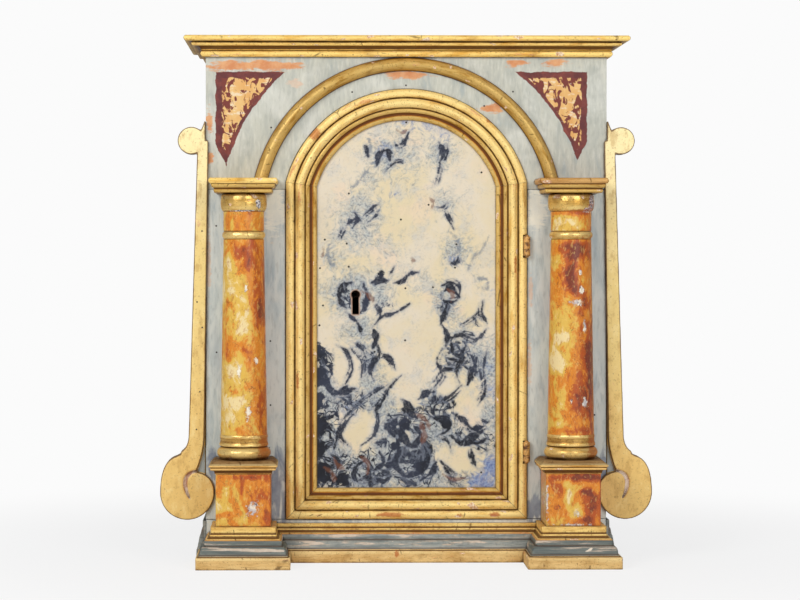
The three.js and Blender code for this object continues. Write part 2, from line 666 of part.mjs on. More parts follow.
function keyholeOutline() {
  const half = KEYHOLE_SLOT_WIDTH / 2;
  const meet = Math.acos(half / KEYHOLE_RADIUS);
  const shape = new THREE.Shape();
  shape.moveTo(KEY_X - half, KEY_Z - KEYHOLE_DROP);
  shape.lineTo(KEY_X + half, KEY_Z - KEYHOLE_DROP);
  shape.absarc(KEY_X, KEY_Z, KEYHOLE_RADIUS, -meet, Math.PI + meet, false);
  return shape;
}

function knuckleClearance(z) {
  const half = HINGE_HEIGHT / 2 + PIN_HEAD_HEIGHT + 2 * JOINT_GAP;
  return bar(KNUCKLE_RADIUS + RUNNING_GAP, -half, half, KNUCKLE_SIDES).translate(HINGE_X, HINGE_Y, z);
}

function door() {
  const outline = archedOutline(DOOR_HALF, DOOR_SPRING_RISE, DOOR_FOOT);
  const mortises = HINGES.map(([, z]) => hingeMortise(
    z, DOOR_HALF - LEAF_THICKNESS - JOINT_GAP, DOOR_HALF + OVERSIZE,
  ));
  const keyhole = frontBoard(keyholeOutline(), -OVERSIZE, PLATE_BACK + OVERSIZE);
  const nailHoles = lockNailPlaces().map(([x, z]) => bore(
    x, z, NAIL_RADIUS + JOINT_GAP, PANEL_BACK - NAIL_DEPTH - JOINT_GAP, PANEL_BACK + OVERSIZE,
  ));
  const panel = frontBoard(outline, PANEL_SETBACK, PANEL_BACK);
  piece('door_panel', 'marbled_cream', cut(panel, keyhole, ...mortises, ...nailHoles));

  // Frame mouldings: inward from the door's edge, proud of the facade
  const back = JOINT_GAP - PANEL_SETBACK;
  const frame = mouldingOutline(DOOR_FRAME_MEMBERS, back);
  const halfAt = (inward) => DOOR_HALF - inward;
  const radiusAt = (inward) => DOOR_RADIUS - inward;
  const springAt = (inward) => Math.sqrt(radiusAt(inward) ** 2 - halfAt(inward) ** 2);

  for (const [name, side] of SIDES) {
    const upright = sweep(frame, 1, (proud, inward, share) => {
      const foot = DOOR_FOOT + inward + JOINT_GAP;
      const head = ARCH_CENTRE + springAt(inward) - JOINT_GAP;
      return [side * halfAt(inward), -proud, THREE.MathUtils.lerp(foot, head, share)];
    });
    const clearances = side > 0 ? [...mortises, ...HINGES.map(([, z]) => knuckleClearance(z))] : [];
    piece(`door_${name}_moulding`, 'gilded', cut(upright, ...clearances));
  }
  piece('door_bottom_moulding', 'gilded', sweep(frame, 1, (proud, inward, share) => [
    (2 * share - 1) * (halfAt(inward) - JOINT_GAP), -proud, DOOR_FOOT + inward,
  ]));
  piece('door_arch_moulding', 'gilded', sweep(frame, ARCH_STEPS, (proud, inward, share) => {
    const edge = Math.atan2(halfAt(inward), springAt(inward));
    const angle = (2 * share - 1) * edge;
    const radius = radiusAt(inward);
    return [radius * Math.sin(angle), -proud, ARCH_CENTRE + radius * Math.cos(angle)];
  }));
}

// Hinges: two knuckles on the door, one on the case, and a headed pin

function hinge(name, z) {
  const group = new THREE.Group();
  group.position.set(HINGE_X, HINGE_Y, z);
  tabernacle.add(group);

  const half = HINGE_HEIGHT / 2;
  const leafBack = LEAF_DEPTH - HINGE_Y;
  const leafFront = (KNUCKLE_RADIUS + PIN_RADIUS) / 2;
  const edge = DOOR_GAP / 2;
  const pinBore = bar(PIN_RADIUS + JOINT_GAP, -half - OVERSIZE, half + OVERSIZE, KNUCKLE_SIDES);
  const knuckle = (place, grow) => bar(
    KNUCKLE_RADIUS + grow,
    place * KNUCKLE_PITCH - KNUCKLE_HEIGHT / 2 - grow,
    place * KNUCKLE_PITCH + KNUCKLE_HEIGHT / 2 + grow,
    KNUCKLE_SIDES,
  );
  const leaf = (side, own, others) => {
    const inner = Math.min(side * edge, side * (edge + LEAF_THICKNESS));
    const plate = box([inner, leafFront, -half], [inner + LEAF_THICKNESS, leafBack, half]);
    const cleared = cut(plate, ...others.map((place) => knuckle(place, KNUCKLE_GAP)));
    return cut(join(cleared, ...own.map((place) => knuckle(place, 0))), pinBore);
  };
  piece(`${name}_hinge_door_leaf`, 'iron', leaf(-1, [-1, 1], [0]), group);
  piece(`${name}_hinge_case_leaf`, 'iron', leaf(1, [0], [-1, 1]), group);

  const pinMembers = [
    ['flat', PIN_HEAD_RADIUS, PIN_HEAD_HEIGHT],
    ['flat', PIN_RADIUS, HINGE_HEIGHT + 2 * JOINT_GAP],
    ['flat', PIN_HEAD_RADIUS, PIN_HEAD_HEIGHT],
  ];
  const pinFoot = -half - JOINT_GAP - PIN_HEAD_HEIGHT;
  piece(`${name}_hinge_pin`, 'iron', turned(pinMembers, 0, pinFoot, KNUCKLE_SIDES), group);
}

// Lock on the back of the door, and its keeper behind the left stile

function lockNailPlaces() {
  const xs = [PLATE_LEFT + NAIL_INSET, PLATE_RIGHT - NAIL_INSET];
  const zs = [PLATE_FOOT + NAIL_INSET, PLATE_TOP - NAIL_INSET];
  return xs.flatMap((x) => zs.map((z) => [x, z]));
}

function keeperNailX() {
  return KEEPER_RIGHT - KEEPER_WIDTH / 2;
}

function keeperNailHeights() {
  const reach = BOLT_HEIGHT / 2 + RUNNING_GAP + (STRAP_FOOT + STRAP_THICKNESS) / 2;
  return [BOLT_Z - reach, BOLT_Z + reach];
}

// A strap bent over a bar: feet on the base, open space of the given size below the crown
function strapOutline(halfSpan, rise, foot) {
  const outer = halfSpan + STRAP_THICKNESS;
  const crown = rise + STRAP_THICKNESS;
  const end = halfSpan + foot;
  return polygon([
    [0, -end], [STRAP_THICKNESS, -end], [STRAP_THICKNESS, -outer], [crown, -outer],
    [crown, outer], [STRAP_THICKNESS, outer], [STRAP_THICKNESS, end], [0, end],
    [0, halfSpan], [rise, halfSpan], [rise, -halfSpan], [0, -halfSpan],
  ]);
}

function boltStrap(height, base, left, width) {
  const halfSpan = height / 2 + RUNNING_GAP;
  const rise = BOLT_BACK + RUNNING_GAP - base;
  return sweep(strapOutline(halfSpan, rise, STRAP_FOOT), 1, (depth, up, share) => [
    left + share * width, base + depth, BOLT_Z + up,
  ]);
}

function nail(name, x, z, seat) {
  const length = NAIL_DEPTH + seat.thickness;
  const profile = [
    new THREE.Vector2(0, -length),
    new THREE.Vector2(NAIL_RADIUS, NAIL_RADIUS - length),
    new THREE.Vector2(NAIL_RADIUS, 0),
    new THREE.Vector2(NAIL_HEAD_RADIUS, 0),
    new THREE.Vector2(NAIL_HEAD_RADIUS * Math.SQRT1_2, NAIL_HEAD_HEIGHT * Math.SQRT1_2),
    new THREE.Vector2(0, NAIL_HEAD_HEIGHT),
  ];
  piece(name, 'iron', new THREE.LatheGeometry(profile, NAIL_SIDES).translate(x, seat.face + JOINT_GAP, z));
}

function lock() {
  const plate = box([PLATE_LEFT, PLATE_FRONT, PLATE_FOOT], [PLATE_RIGHT, PLATE_BACK, PLATE_TOP]);
  const keyhole = frontBoard(keyholeOutline(), -OVERSIZE, PLATE_BACK + OVERSIZE);
  const holes = lockNailPlaces().map(([x, z]) => bore(
    x, z, NAIL_RADIUS + JOINT_GAP, PANEL_BACK - OVERSIZE, PLATE_BACK + OVERSIZE,
  ));
  piece('lock_plate', 'iron', cut(plate, keyhole, ...holes));
  lockNailPlaces().forEach(([x, z], i) => {
    nail(`lock_nail_${i + 1}`, x, z, { face: PLATE_BACK, thickness: LOCK_PLATE_THICKNESS });
  });

  // Bolt: a tall head, a lower tail, and a notch that the key's bit pushes
  const headRight = BOLT_LEFT + BOLT_HEAD_LENGTH;
  const top = BOLT_Z + BOLT_HEIGHT / 2;
  const foot = BOLT_Z - BOLT_HEIGHT / 2;
  const tailFoot = BOLT_Z - BOLT_TAIL_HEIGHT / 2;
  const bolt = polygon([
    [BOLT_LEFT, foot], [headRight, foot], [headRight, tailFoot],
    [KEY_X - TALON_WIDTH / 2, tailFoot], [KEY_X - TALON_WIDTH / 2, tailFoot + TALON_DEPTH],
    [KEY_X + TALON_WIDTH / 2, tailFoot + TALON_DEPTH], [KEY_X + TALON_WIDTH / 2, tailFoot],
    [BOLT_RIGHT, tailFoot], [BOLT_RIGHT, top], [BOLT_LEFT, top],
  ]);
  piece('lock_bolt', 'iron', frontBoard(bolt, BOLT_FRONT, BOLT_BACK));
  const headGuideLeft = PLATE_LEFT + HEAD_GUIDE_INSET;
  const tailGuideLeft = KEY_X - TAIL_GUIDE_FROM_KEY;
  piece('bolt_head_guide', 'iron', boltStrap(BOLT_HEIGHT, STRAP_BASE, headGuideLeft, STRAP_WIDTH));
  piece('bolt_tail_guide', 'iron', boltStrap(BOLT_HEIGHT, STRAP_BASE, tailGuideLeft, STRAP_WIDTH));

  // A leaf spring, bowed down on to the bolt between its guides
  const springMiddle = (headGuideLeft + STRAP_WIDTH + tailGuideLeft) / 2;
  const halfSpring = springMiddle - headGuideLeft - STRAP_WIDTH - SPRING_END_GAP;
  const spring = new THREE.Shape();
  const ends = SPRING_FOOT_Z + SPRING_BOW;
  const pull = SPRING_FOOT_Z - SPRING_BOW;
  spring.moveTo(springMiddle - halfSpring, ends);
  spring.quadraticCurveTo(springMiddle, pull, springMiddle + halfSpring, ends);
  const endTops = ends + SPRING_THICKNESS;
  spring.lineTo(springMiddle + halfSpring, endTops);
  spring.quadraticCurveTo(springMiddle, pull + SPRING_THICKNESS, springMiddle - halfSpring, endTops);
  piece('bolt_spring', 'iron', frontBoard(spring, STRAP_BASE, STRAP_BASE + SPRING_WIDTH));

  // The bridge carries the end of the key
  const bridgeOutline = strapOutline(BRIDGE_HALF_SPAN, BRIDGE_RISE, BRIDGE_FOOT);
  const bridge = sweep(bridgeOutline, 1, (depth, across, share) => [
    KEY_X + across, STRAP_BASE + depth, KEY_Z + (share - 1 / 2) * STRAP_WIDTH,
  ]);
  const pinHole = bore(KEY_X, KEY_Z, BRIDGE_PIN_RADIUS, STRAP_BASE, STRAP_BASE + BRIDGE_RISE + 2 * OVERSIZE);
  piece('key_bridge', 'iron', cut(bridge, pinHole));

  const keeper = boltStrap(BOLT_HEIGHT, KEEPER_BASE, KEEPER_RIGHT - KEEPER_WIDTH, KEEPER_WIDTH);
  const keeperHoles = keeperNailHeights().map((z) => bore(
    keeperNailX(), z, NAIL_RADIUS + JOINT_GAP, FACADE_THICKNESS, KEEPER_BASE + STRAP_THICKNESS + OVERSIZE,
  ));
  piece('lock_keeper', 'iron', cut(keeper, ...keeperHoles));
  keeperNailHeights().forEach((z, i) => {
    const seat = { face: KEEPER_BASE + STRAP_THICKNESS, thickness: STRAP_THICKNESS };
    nail(`keeper_nail_${i + 1}`, keeperNailX(), z, seat);
  });
}

caseBoards();
caseMouldings();
for (const [name, side] of SIDES) {
  column(name, side);
  scroll(name, side);
}
door();
for (const [name, z] of HINGES) hinge(name, z);
lock();

// The origin lies under the middle of the whole
const FRONT_REACH = COLUMN_STANDOFF + DIE_HALF + reachOf(BASE_MEMBERS);
tabernacle.position.y = (FRONT_REACH - CASE_BACK) / 2;

export default tabernacle;
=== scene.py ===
"""Wooden tabernacle: a painted and gilded altar cabinet with an arched, locked door.
Metres, +Z up. The front faces -Y and the left side is -X."""
import contextlib
import functools
import json
import math

import bmesh
import bpy
import numpy as np
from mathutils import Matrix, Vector, noise

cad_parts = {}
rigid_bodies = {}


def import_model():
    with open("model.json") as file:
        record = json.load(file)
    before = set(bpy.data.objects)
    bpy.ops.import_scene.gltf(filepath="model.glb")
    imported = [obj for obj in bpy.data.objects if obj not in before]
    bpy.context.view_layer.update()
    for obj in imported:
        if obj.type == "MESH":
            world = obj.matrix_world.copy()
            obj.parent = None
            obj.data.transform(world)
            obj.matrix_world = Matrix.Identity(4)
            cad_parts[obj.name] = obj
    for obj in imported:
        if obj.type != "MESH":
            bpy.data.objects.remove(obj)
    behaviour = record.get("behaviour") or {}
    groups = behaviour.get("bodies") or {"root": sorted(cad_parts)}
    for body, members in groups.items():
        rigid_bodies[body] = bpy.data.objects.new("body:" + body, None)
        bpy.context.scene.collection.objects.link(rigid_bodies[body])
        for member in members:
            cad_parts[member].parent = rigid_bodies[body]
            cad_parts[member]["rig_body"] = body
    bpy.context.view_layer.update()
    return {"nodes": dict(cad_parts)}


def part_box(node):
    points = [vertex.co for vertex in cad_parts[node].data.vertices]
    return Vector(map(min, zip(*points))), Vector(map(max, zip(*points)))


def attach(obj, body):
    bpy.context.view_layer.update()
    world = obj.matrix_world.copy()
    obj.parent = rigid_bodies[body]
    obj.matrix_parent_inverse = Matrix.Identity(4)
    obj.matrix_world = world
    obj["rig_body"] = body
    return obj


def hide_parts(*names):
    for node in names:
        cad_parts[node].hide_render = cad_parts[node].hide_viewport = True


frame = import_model()
NODES = frame["nodes"]
SIDES = (("left", -1), ("right", 1))


def middle(node):
    low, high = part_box(node)
    return (low + high) / 2


# Places taken from the frame
FACADE_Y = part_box("left_stile")[0].y
CASE_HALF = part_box("spandrel_board")[1].x
CASE_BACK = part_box("back_plank_left")[1].y
OPENING_HALF = -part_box("left_stile")[1].x
CORNICE_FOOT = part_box("cornice_front")[0].z
DOOR_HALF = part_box("door_panel")[1].x
DOOR_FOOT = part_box("door_panel")[0].z
PANEL_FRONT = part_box("door_panel")[0].y
PANEL_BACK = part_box("door_panel")[1].y
COLUMN_X = middle("right_column_shaft").x
COLUMN_Y = middle("right_column_shaft").y
DIE_HALF = (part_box("right_pedestal_die")[1].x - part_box("right_pedestal_die")[0].x) / 2
ABACUS_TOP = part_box("left_abacus")[1].z
HINGE_X = middle("upper_hinge_pin").x
HINGE_Y = middle("upper_hinge_pin").y
SCROLL_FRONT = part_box("left_scroll")[0].y
SCROLL_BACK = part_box("left_scroll")[1].y

# Arches: the door's springs a little above its centre, and the rest are concentric with it
DOOR_SPRING_RISE = 0.0348
DOOR_RADIUS = math.hypot(DOOR_HALF, DOOR_SPRING_RISE)
ARCH_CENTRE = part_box("door_panel")[1].z - DOOR_RADIUS
OPENING_RADIUS = DOOR_RADIUS + OPENING_HALF - DOOR_HALF
ARCHIVOLT_MARGIN = 0.0215
JOINT = 0.0003  # gap between pieces that are glued or seated
BACK_SETBACK = 0.0017  # the door's frame is let into its panel by this much

# Keyhole
KEY_X = -0.0565
KEY_Z = 0.296
KEY_RADIUS = 0.0047
KEY_SLOT_HALF = 0.00335
KEY_DROP = 0.0218

# Mouldings from the foot up, or from the outer edge in: form, projection, run, swell
CORNICE = (
    ("bead", 0.0057, 0.0070, 0.0022),
    ("flat", 0.0049, 0.0004),
    ("starts_upright", 0.0125, 0.0043),
    ("bead", 0.0152, 0.0043, 0.0012),
    ("flat", 0.0134, 0.0005),
    ("bead", 0.0234, 0.0060, 0.0020),
)
BASE = (
    ("flat", 0.0213, 0.0130),
    ("flat", 0.0185, 0.0020),
    ("flat", 0.0170, 0.0005),
    ("starts_upright", 0.0130, 0.0085),
    ("flat", 0.0118, 0.0008),
    ("bead", 0.0124, 0.0060, 0.0006),
    ("flat", 0.0105, 0.0012),
    ("starts_level", 0.0065, 0.0045),
    ("flat", 0.0055, 0.0080),
)
FRONT_BASE = BASE[:-1] + (("flat", 0.0055, 0.0054),)  # lower between the feet
SKIRT = (
    ("flat", 0.0105, 0.0130),
    ("flat", 0.0092, 0.0020),
    ("slope", 0.0068, 0.0130),
    ("flat", 0.0060, 0.0010),
    ("slope", 0.0044, 0.0070),
    ("flat", 0.0034, 0.0085),
)
CAP = (
    ("flat", 0.0012, 0.0012),
    ("starts_upright", 0.0048, 0.0030),
    ("bead", 0.0060, 0.0026, 0.0007),
    ("flat", 0.0052, 0.0006),
    ("bead", 0.0075, 0.0026, 0.0008),
    ("slope", 0.0022, 0.0039),
)
ABACUS = (
    ("bead", 0.0019, 0.0043, 0.0008),
    ("flat", 0.0014, 0.0006),
    ("starts_level", 0.0047, 0.0042),
    ("flat", 0.0041, 0.0006),
    ("bead", 0.0075, 0.0062, 0.0014),
)
COLUMN_BASE = (
    ("bead", 0.0296, 0.0145, 0.0050),
    ("flat", 0.0270, 0.0026),
    ("starts_level", 0.0259, 0.0060),
    ("bead", 0.0264, 0.0039, 0.0007),
)
CAPITAL = (
    ("bead", 0.0237, 0.0094, 0.0024),
    ("flat", 0.0223, 0.0210),
    ("flat", 0.0224, 0.0005),
    ("starts_level", 0.0254, 0.0098),
    ("starts_upright", 0.0221, 0.0100),
)
SHAFT_FOOT = 0.0256
SHAFT_HEAD = 0.0223
ARCHIVOLT = (("bead", 0.0095, 0.0150, 0.0085),)
DOOR_FRAME = (
    ("bead", 0.0062, 0.0093, 0.0030),
    ("flat", 0.0026, 0.0006),
    ("bead", 0.0086, 0.0100, 0.0042),
    ("flat", 0.0032, 0.0006),
    ("bead", 0.0052, 0.0045, 0.0012),
    ("starts_level", 0.0020, 0.0035),
    ("starts_upright", -0.0010, 0.0045),
)

# How fine the meshes are
FACE_STEP = 0.0006  # between the points of a moulding
RUN_STEP = 0.0035  # along a moulding
PLANK_STEP = 0.012  # between the points of a board
CURVE_STEPS = 10  # along each curved member
CORNER_STEPS = 4  # round the corner of a board or a foot
ARC_STEPS = 28
ARCH_STEPS = 72
TURNED_SIDES = 96
TOOL_SIDES = 32

# How worn the wood is
SLOW_WEAR = 0.00022  # hand-planed unevenness
FINE_WEAR = 0.0001  # ripples of the gesso
PLANK_WEAR = 0.00025
CHIP_DEPTH = 0.0006
SLOW_RATE = (11, 14)  # ripples in a metre, along a run and across it
FINE_RATE = (75, 140)
CHIP_RATE = (95, 150)
PLANK_RATE = 14
HOLLOW_DEPTH = 0.0005  # the depth that counts as a full groove
WIDE_PASSES = 30  # of smoothing, to find grooves and ridges
SEAM_EASE = 0.25  # radians beside the seam of a turned piece, where the wear fades out
CHIP_RANGE = (0.46, 0.66)  # how high the noise rises where an edge begins to chip, and is chipped

# Corners, in radians
SHARP = 0.7  # edges that turn further than this stay sharp
IRON_SHARP = 0.6
PANEL_SHARP = 0.6
SCROLL_SHARP = 1.2
EASED = 0.45  # edges that turn further than this are bevelled
FACET = 0.01  # facets that turn less than this are one face
SAME_POINT = 1e-6  # metres


# Materials


def linear(colour):
    """A colour given as it looks on a screen, in linear light."""
    channels = (c / 12.92 if c <= 0.04045 else ((c + 0.055) / 1.055) ** 2.4 for c in colour)
    return (*channels, 1.0)


class Finish:
    """Writes a node material: each method adds nodes and gives back what comes out of them.
    The colour painted so far is kept, and cover lays another one over it."""

    def __init__(self, name):
        self.material = bpy.data.materials.new(name)
        self.material.use_nodes = True
        self.nodes = self.material.node_tree.nodes
        self.links = self.material.node_tree.links
        self.shader = self.nodes["Principled BSDF"]
        coordinates = self.add("ShaderNodeTexCoord")
        self.place = coordinates.outputs["Object"]
        self.normal = coordinates.outputs["Normal"]
        self.colour = None

    def add(self, kind, inputs=None, **settings):
        node = self.nodes.new(kind)
        for key, value in settings.items():
            setattr(node, key, value)
        for socket, value in (inputs or {}).items():
            self.feed(node.inputs[socket], value)
        return node

    def feed(self, socket, value):
        if isinstance(value, bpy.types.NodeSocket):
            self.links.new(value, socket)
        else:
            socket.default_value = value

    def attribute(self, name, output="Fac"):
        return self.add("ShaderNodeAttribute", attribute_name=name).outputs[output]

    def maths(self, operation, first, second=0.0):
        return self.add("ShaderNodeMath", {0: first, 1: second}, operation=operation).outputs[0]

    def chain(self, operation, *values):
        return functools.reduce(lambda total, value: self.maths(operation, total, value), values)

    def times(self, *values):
        return self.chain("MULTIPLY", *values)

    def minus(self, first, second):
        return self.maths("SUBTRACT", first, second)

    def plus(self, value, other, factor):
        """A value with a share of another one added."""
        return self.maths("ADD", value, self.times(other, factor))

    def roughened(self, value, unevenness, amount):
        """A value moved up and down by noise."""
        return self.plus(value, self.minus(unevenness, 0.5), amount)

    def step(self, value, low, high):
        inputs = {0: value, 1: low, 2: high}
        return self.add("ShaderNodeMapRange", inputs, interpolation_type="SMOOTHSTEP").outputs[0]

    def vector_maths(self, operation, *values, output=0):
        node = self.add("ShaderNodeVectorMath", dict(enumerate(values)), operation=operation)
        return node.outputs[output]

    def stretch(self, scale, vector=None):
        return self.vector_maths("MULTIPLY", vector or self.place, scale)

    def turn(self, degrees, scale, vector):
        """A place turned about Y and then stretched."""
        inputs = {"Vector": vector, "Angle": math.radians(degrees)}
        node = self.add("ShaderNodeVectorRotate", inputs, rotation_type="Y_AXIS")
        return self.stretch(scale, node.outputs[0])

    def front(self):
        """The place seen from the front: X and Z as a flat vector, and then each of them."""
        parts = self.add("ShaderNodeSeparateXYZ", {0: self.place}).outputs
        flat = self.add("ShaderNodeCombineXYZ", {0: parts[0], 1: parts[2]}).outputs[0]
        return flat, parts[0], parts[2]

    def faces_front(self):
        depth = self.add("ShaderNodeSeparateXYZ", {0: self.normal}).outputs[1]
        return self.step(depth, -0.5, -0.8)

    def noise(self, scale, detail=4.0, vector=None, distortion=0.0, roughness=0.55):
        inputs = {
            "Vector": vector or self.place,
            "Scale": scale,
            "Detail": detail,
            "Distortion": distortion,
            "Roughness": roughness,
        }
        return self.add("ShaderNodeTexNoise", inputs).outputs["Fac"]

    def warped(self, scale, amount, vector):
        """A place pushed about by noise."""
        push = self.add("ShaderNodeTexNoise", {"Vector": vector, "Scale": scale}).outputs["Color"]
        centred = self.vector_maths("SUBTRACT", push, (0.5, 0.5, 0.5))
        return self.vector_maths("MULTIPLY_ADD", centred, (amount, amount, amount), vector)

    def cells(self, scale, vector, **settings):
        node = self.add("ShaderNodeTexVoronoi", {"Vector": vector, "Scale": scale}, **settings)
        return node.outputs["Distance"], node.outputs.get("Color")

    def blend(self, share, below, above):
        """Two colours mixed. A colour that isn't a node's output is given as it looks on a screen."""
        inputs = {0: share}
        for socket, colour in ((6, below), (7, above)):
            inputs[socket] = linear(colour) if isinstance(colour, tuple) else colour
        return self.add("ShaderNodeMix", inputs, data_type="RGBA").outputs[2]

    def two_tone(self, value, low, high, first, second):
        return self.blend(self.step(value, low, high), first, second)

    def cover(self, share, colour, strength=None):
        """Lays a colour over what is painted so far."""
        if strength is not None:
            share = self.times(share, strength)
        self.colour = self.blend(share, self.colour, colour)

    def patch(self, x, z, half_width, half_height, ragged):
        """A ragged spot, seen from the front."""
        offset = self.vector_maths("SUBTRACT", self.front()[0], (x, z, 0.0))
        scaled = self.stretch((1 / half_width, 1 / half_height, 0.0), offset)
        reach = self.vector_maths("LENGTH", scaled, output="Value")
        return self.times(self.step(self.roughened(reach, ragged, 4.2), 1.3, 0.7), self.faces_front())

    def wormholes(self, spacing, radius, share):
        """Round dark holes, seen from the front: few of the cells of a flat pattern hold one."""
        distance, colour = self.cells(1 / spacing, self.front()[0], voronoi_dimensions="2D")
        draw = self.add("ShaderNodeSeparateColor", {0: colour}).outputs[0]
        chosen = self.step(draw, 1 - share, 1 - share + 0.01)
        edge = radius / spacing
        return self.times(chosen, self.step(distance, edge * 1.15, edge * 0.85), self.faces_front())

    def shade_corners(self, grime_and_shade, reach=0.0045):
        """Paints shade where another face stands close by: ambient occlusion darkens the colour, broken up by
        noise like grime.
        """
        room = self.add("ShaderNodeAmbientOcclusion", {"Distance": reach}, samples=8).outputs["AO"]
        share = self.step(self.plus(room, self.noise(150.0, 4.0), 0.3), 0.95, 0.62)
        broken = self.plus(0.5, self.step(self.noise(45.0, 5.0), 0.36, 0.58), 0.4)
        self.cover(self.times(share, broken), grime_and_shade)

    def finish(self, roughness, relief, depth, metallic=0.0):
        """Joins the colour, the gloss and a fine relief to the shader."""
        bump = self.add("ShaderNodeBump", {"Strength": 1.0, "Distance": depth, "Height": relief})
        inputs = {
            "Base Color": self.colour,
            "Metallic": metallic,
            "Roughness": roughness,
            "Normal": bump.outputs[0],
        }
        for name, value in inputs.items():
            self.feed(self.shader.inputs[name], value)
        return self.material


def gilding(name, pale, leaf, deep, rubbed, gloss, metal):
    """Worn gold leaf over red bole and white gesso: grooves darkened with grime and painted shade, painted
    highlights on the ridges and in patches, rubbed ridges, cracks across the run.
    """
    paint = Finish(name)
    flow = paint.attribute("flow", "Vector")
    hollow = paint.attribute("hollow")
    leaves = paint.noise(1.0, 6.0, paint.stretch((26.0, 130.0, 26.0), flow), roughness=0.65)
    grain = paint.noise(1.0, 5.0, paint.stretch((120.0, 900.0, 90.0), flow))
    smear = paint.noise(1.0, 7.0, paint.stretch((20.0, 110.0, 20.0), flow), roughness=0.62)
    speck = paint.noise(520.0, 4.0, roughness=0.65)
    ragged = paint.noise(300.0, 6.0, roughness=0.7)
    paint.colour = paint.two_tone(leaves, 0.36, 0.64, leaf, pale)
    paint.cover(paint.step(paint.noise(38.0, 6.0, distortion=0.4), 0.50, 0.70), deep, 0.65)
    paint.cover(paint.step(grain, 0.50, 0.68), deep, 0.55)
    ridge = paint.step(hollow, -0.08, -0.42)
    # painted highlight: near-white gold along the ridges of each member
    highlight_gold = paint.blend(0.3, pale, (1.0, 0.93, 0.68))
    paint.cover(paint.times(ridge, paint.step(leaves, 0.30, 0.55)), highlight_gold, 0.8)
    # painted highlight in random patches away from the grooves
    highlight_patches = paint.times(paint.step(paint.noise(13.0, 4.0), 0.53, 0.68), paint.step(hollow, 0.1, -0.1))
    paint.cover(highlight_patches, highlight_gold, 0.55)
    bare = paint.step(paint.plus(smear, ridge, 0.04), rubbed, rubbed + 0.06)
    paint.cover(bare, paint.two_tone(speck, 0.40, 0.62, (0.76, 0.42, 0.19), (0.89, 0.70, 0.52)), 0.7)
    paint.cover(paint.step(speck, 0.57, 0.67), (0.42, 0.25, 0.10), 0.6)
    # darker brown in the grooves: grime, and painted shade under each member
    groove = paint.step(paint.plus(hollow, speck, 0.3), 0.26, 0.62)
    paint.cover(groove, (0.33, 0.18, 0.06), 0.9)
    to_edge, _ = paint.cells(1.0, paint.stretch((24.0, 9.0, 4.0), flow), feature="DISTANCE_TO_EDGE")
    crack = paint.times(paint.step(to_edge, 0.010, 0.003), paint.step(leaves, 0.52, 0.60))
    paint.cover(crack, (0.34, 0.20, 0.09), 0.6)
    chip = paint.step(paint.plus(paint.attribute("chip"), ragged, 1.6), 1.25, 1.4)
    paint.cover(chip, paint.two_tone(speck, 0.42, 0.58, (0.93, 0.87, 0.78), (0.80, 0.58, 0.42)), 0.85)
    flake = paint.step(paint.plus(paint.attribute("flake"), ragged, 1.2), 0.95, 1.1)
    paint.cover(flake, paint.two_tone(speck, 0.46, 0.54, (0.88, 0.86, 0.84), (0.22, 0.22, 0.28)))
    # red bole where rubbed, and painted shade on the right of the column bases and capitals
    red = paint.step(paint.roughened(paint.attribute("tint"), ragged, 1.4), 0.45, 0.8)
    paint.cover(red, (0.70, 0.36, 0.15), 0.75)
    # painted shade, broken up like grime, where another face stands close by
    paint.shade_corners((0.33, 0.20, 0.08))
    paint.shader.inputs["Specular IOR Level"].default_value = 0.18
    dull = paint.chain("MAXIMUM", chip, flake, bare, groove)
    return paint.finish(
        roughness=paint.plus(gloss, paint.noise(70.0, 5.0), 0.28),
        relief=paint.plus(paint.noise(260.0, 5.0), crack, -1.5),
        depth=0.0004,
        metallic=paint.times(paint.minus(1.0, dull), metal),
    )


# Golds: palest, usual and deepest colour, then wear, gloss and metallic share
GOLDS = {
    "gold_leaf": ((0.97, 0.84, 0.52), (0.90, 0.72, 0.385), (0.69, 0.49, 0.20), 0.64, 0.30, 0.25),
    "olive_gold": ((0.77, 0.59, 0.22), (0.655, 0.47, 0.14), (0.46, 0.30, 0.06), 0.66, 0.26, 0.30),
    "cornice_gold": ((1.0, 0.84, 0.45), (0.90, 0.69, 0.31), (0.63, 0.43, 0.15), 0.65, 0.30, 0.25),
    "red_gold": ((0.80, 0.52, 0.20), (0.66, 0.39, 0.12), (0.46, 0.23, 0.05), 0.62, 0.34, 0.20),
    "copper_gold": ((0.73, 0.48, 0.17), (0.61, 0.375, 0.095), (0.42, 0.22, 0.035), 0.62, 0.30, 0.25),
    "burnished_gold": ((0.89, 0.74, 0.42), (0.81, 0.62, 0.29), (0.59, 0.39, 0.12), 0.72, 0.16, 0.60),
    "base_gold": ((0.92, 0.77, 0.45), (0.80, 0.61, 0.30), (0.59, 0.40, 0.15), 0.74, 0.20, 0.55),
    "plinth_gold": ((0.89, 0.755, 0.51), (0.81, 0.655, 0.405), (0.63, 0.47, 0.24), 0.62, 0.45, 0.05),
    "worn_gold": ((0.87, 0.67, 0.34), (0.74, 0.52, 0.20), (0.52, 0.33, 0.10), 0.66, 0.40, 0.15),
    "dusty_gold": ((0.58, 0.45, 0.28), (0.47, 0.34, 0.19), (0.33, 0.22, 0.11), 0.66, 0.50, 0.0),
}


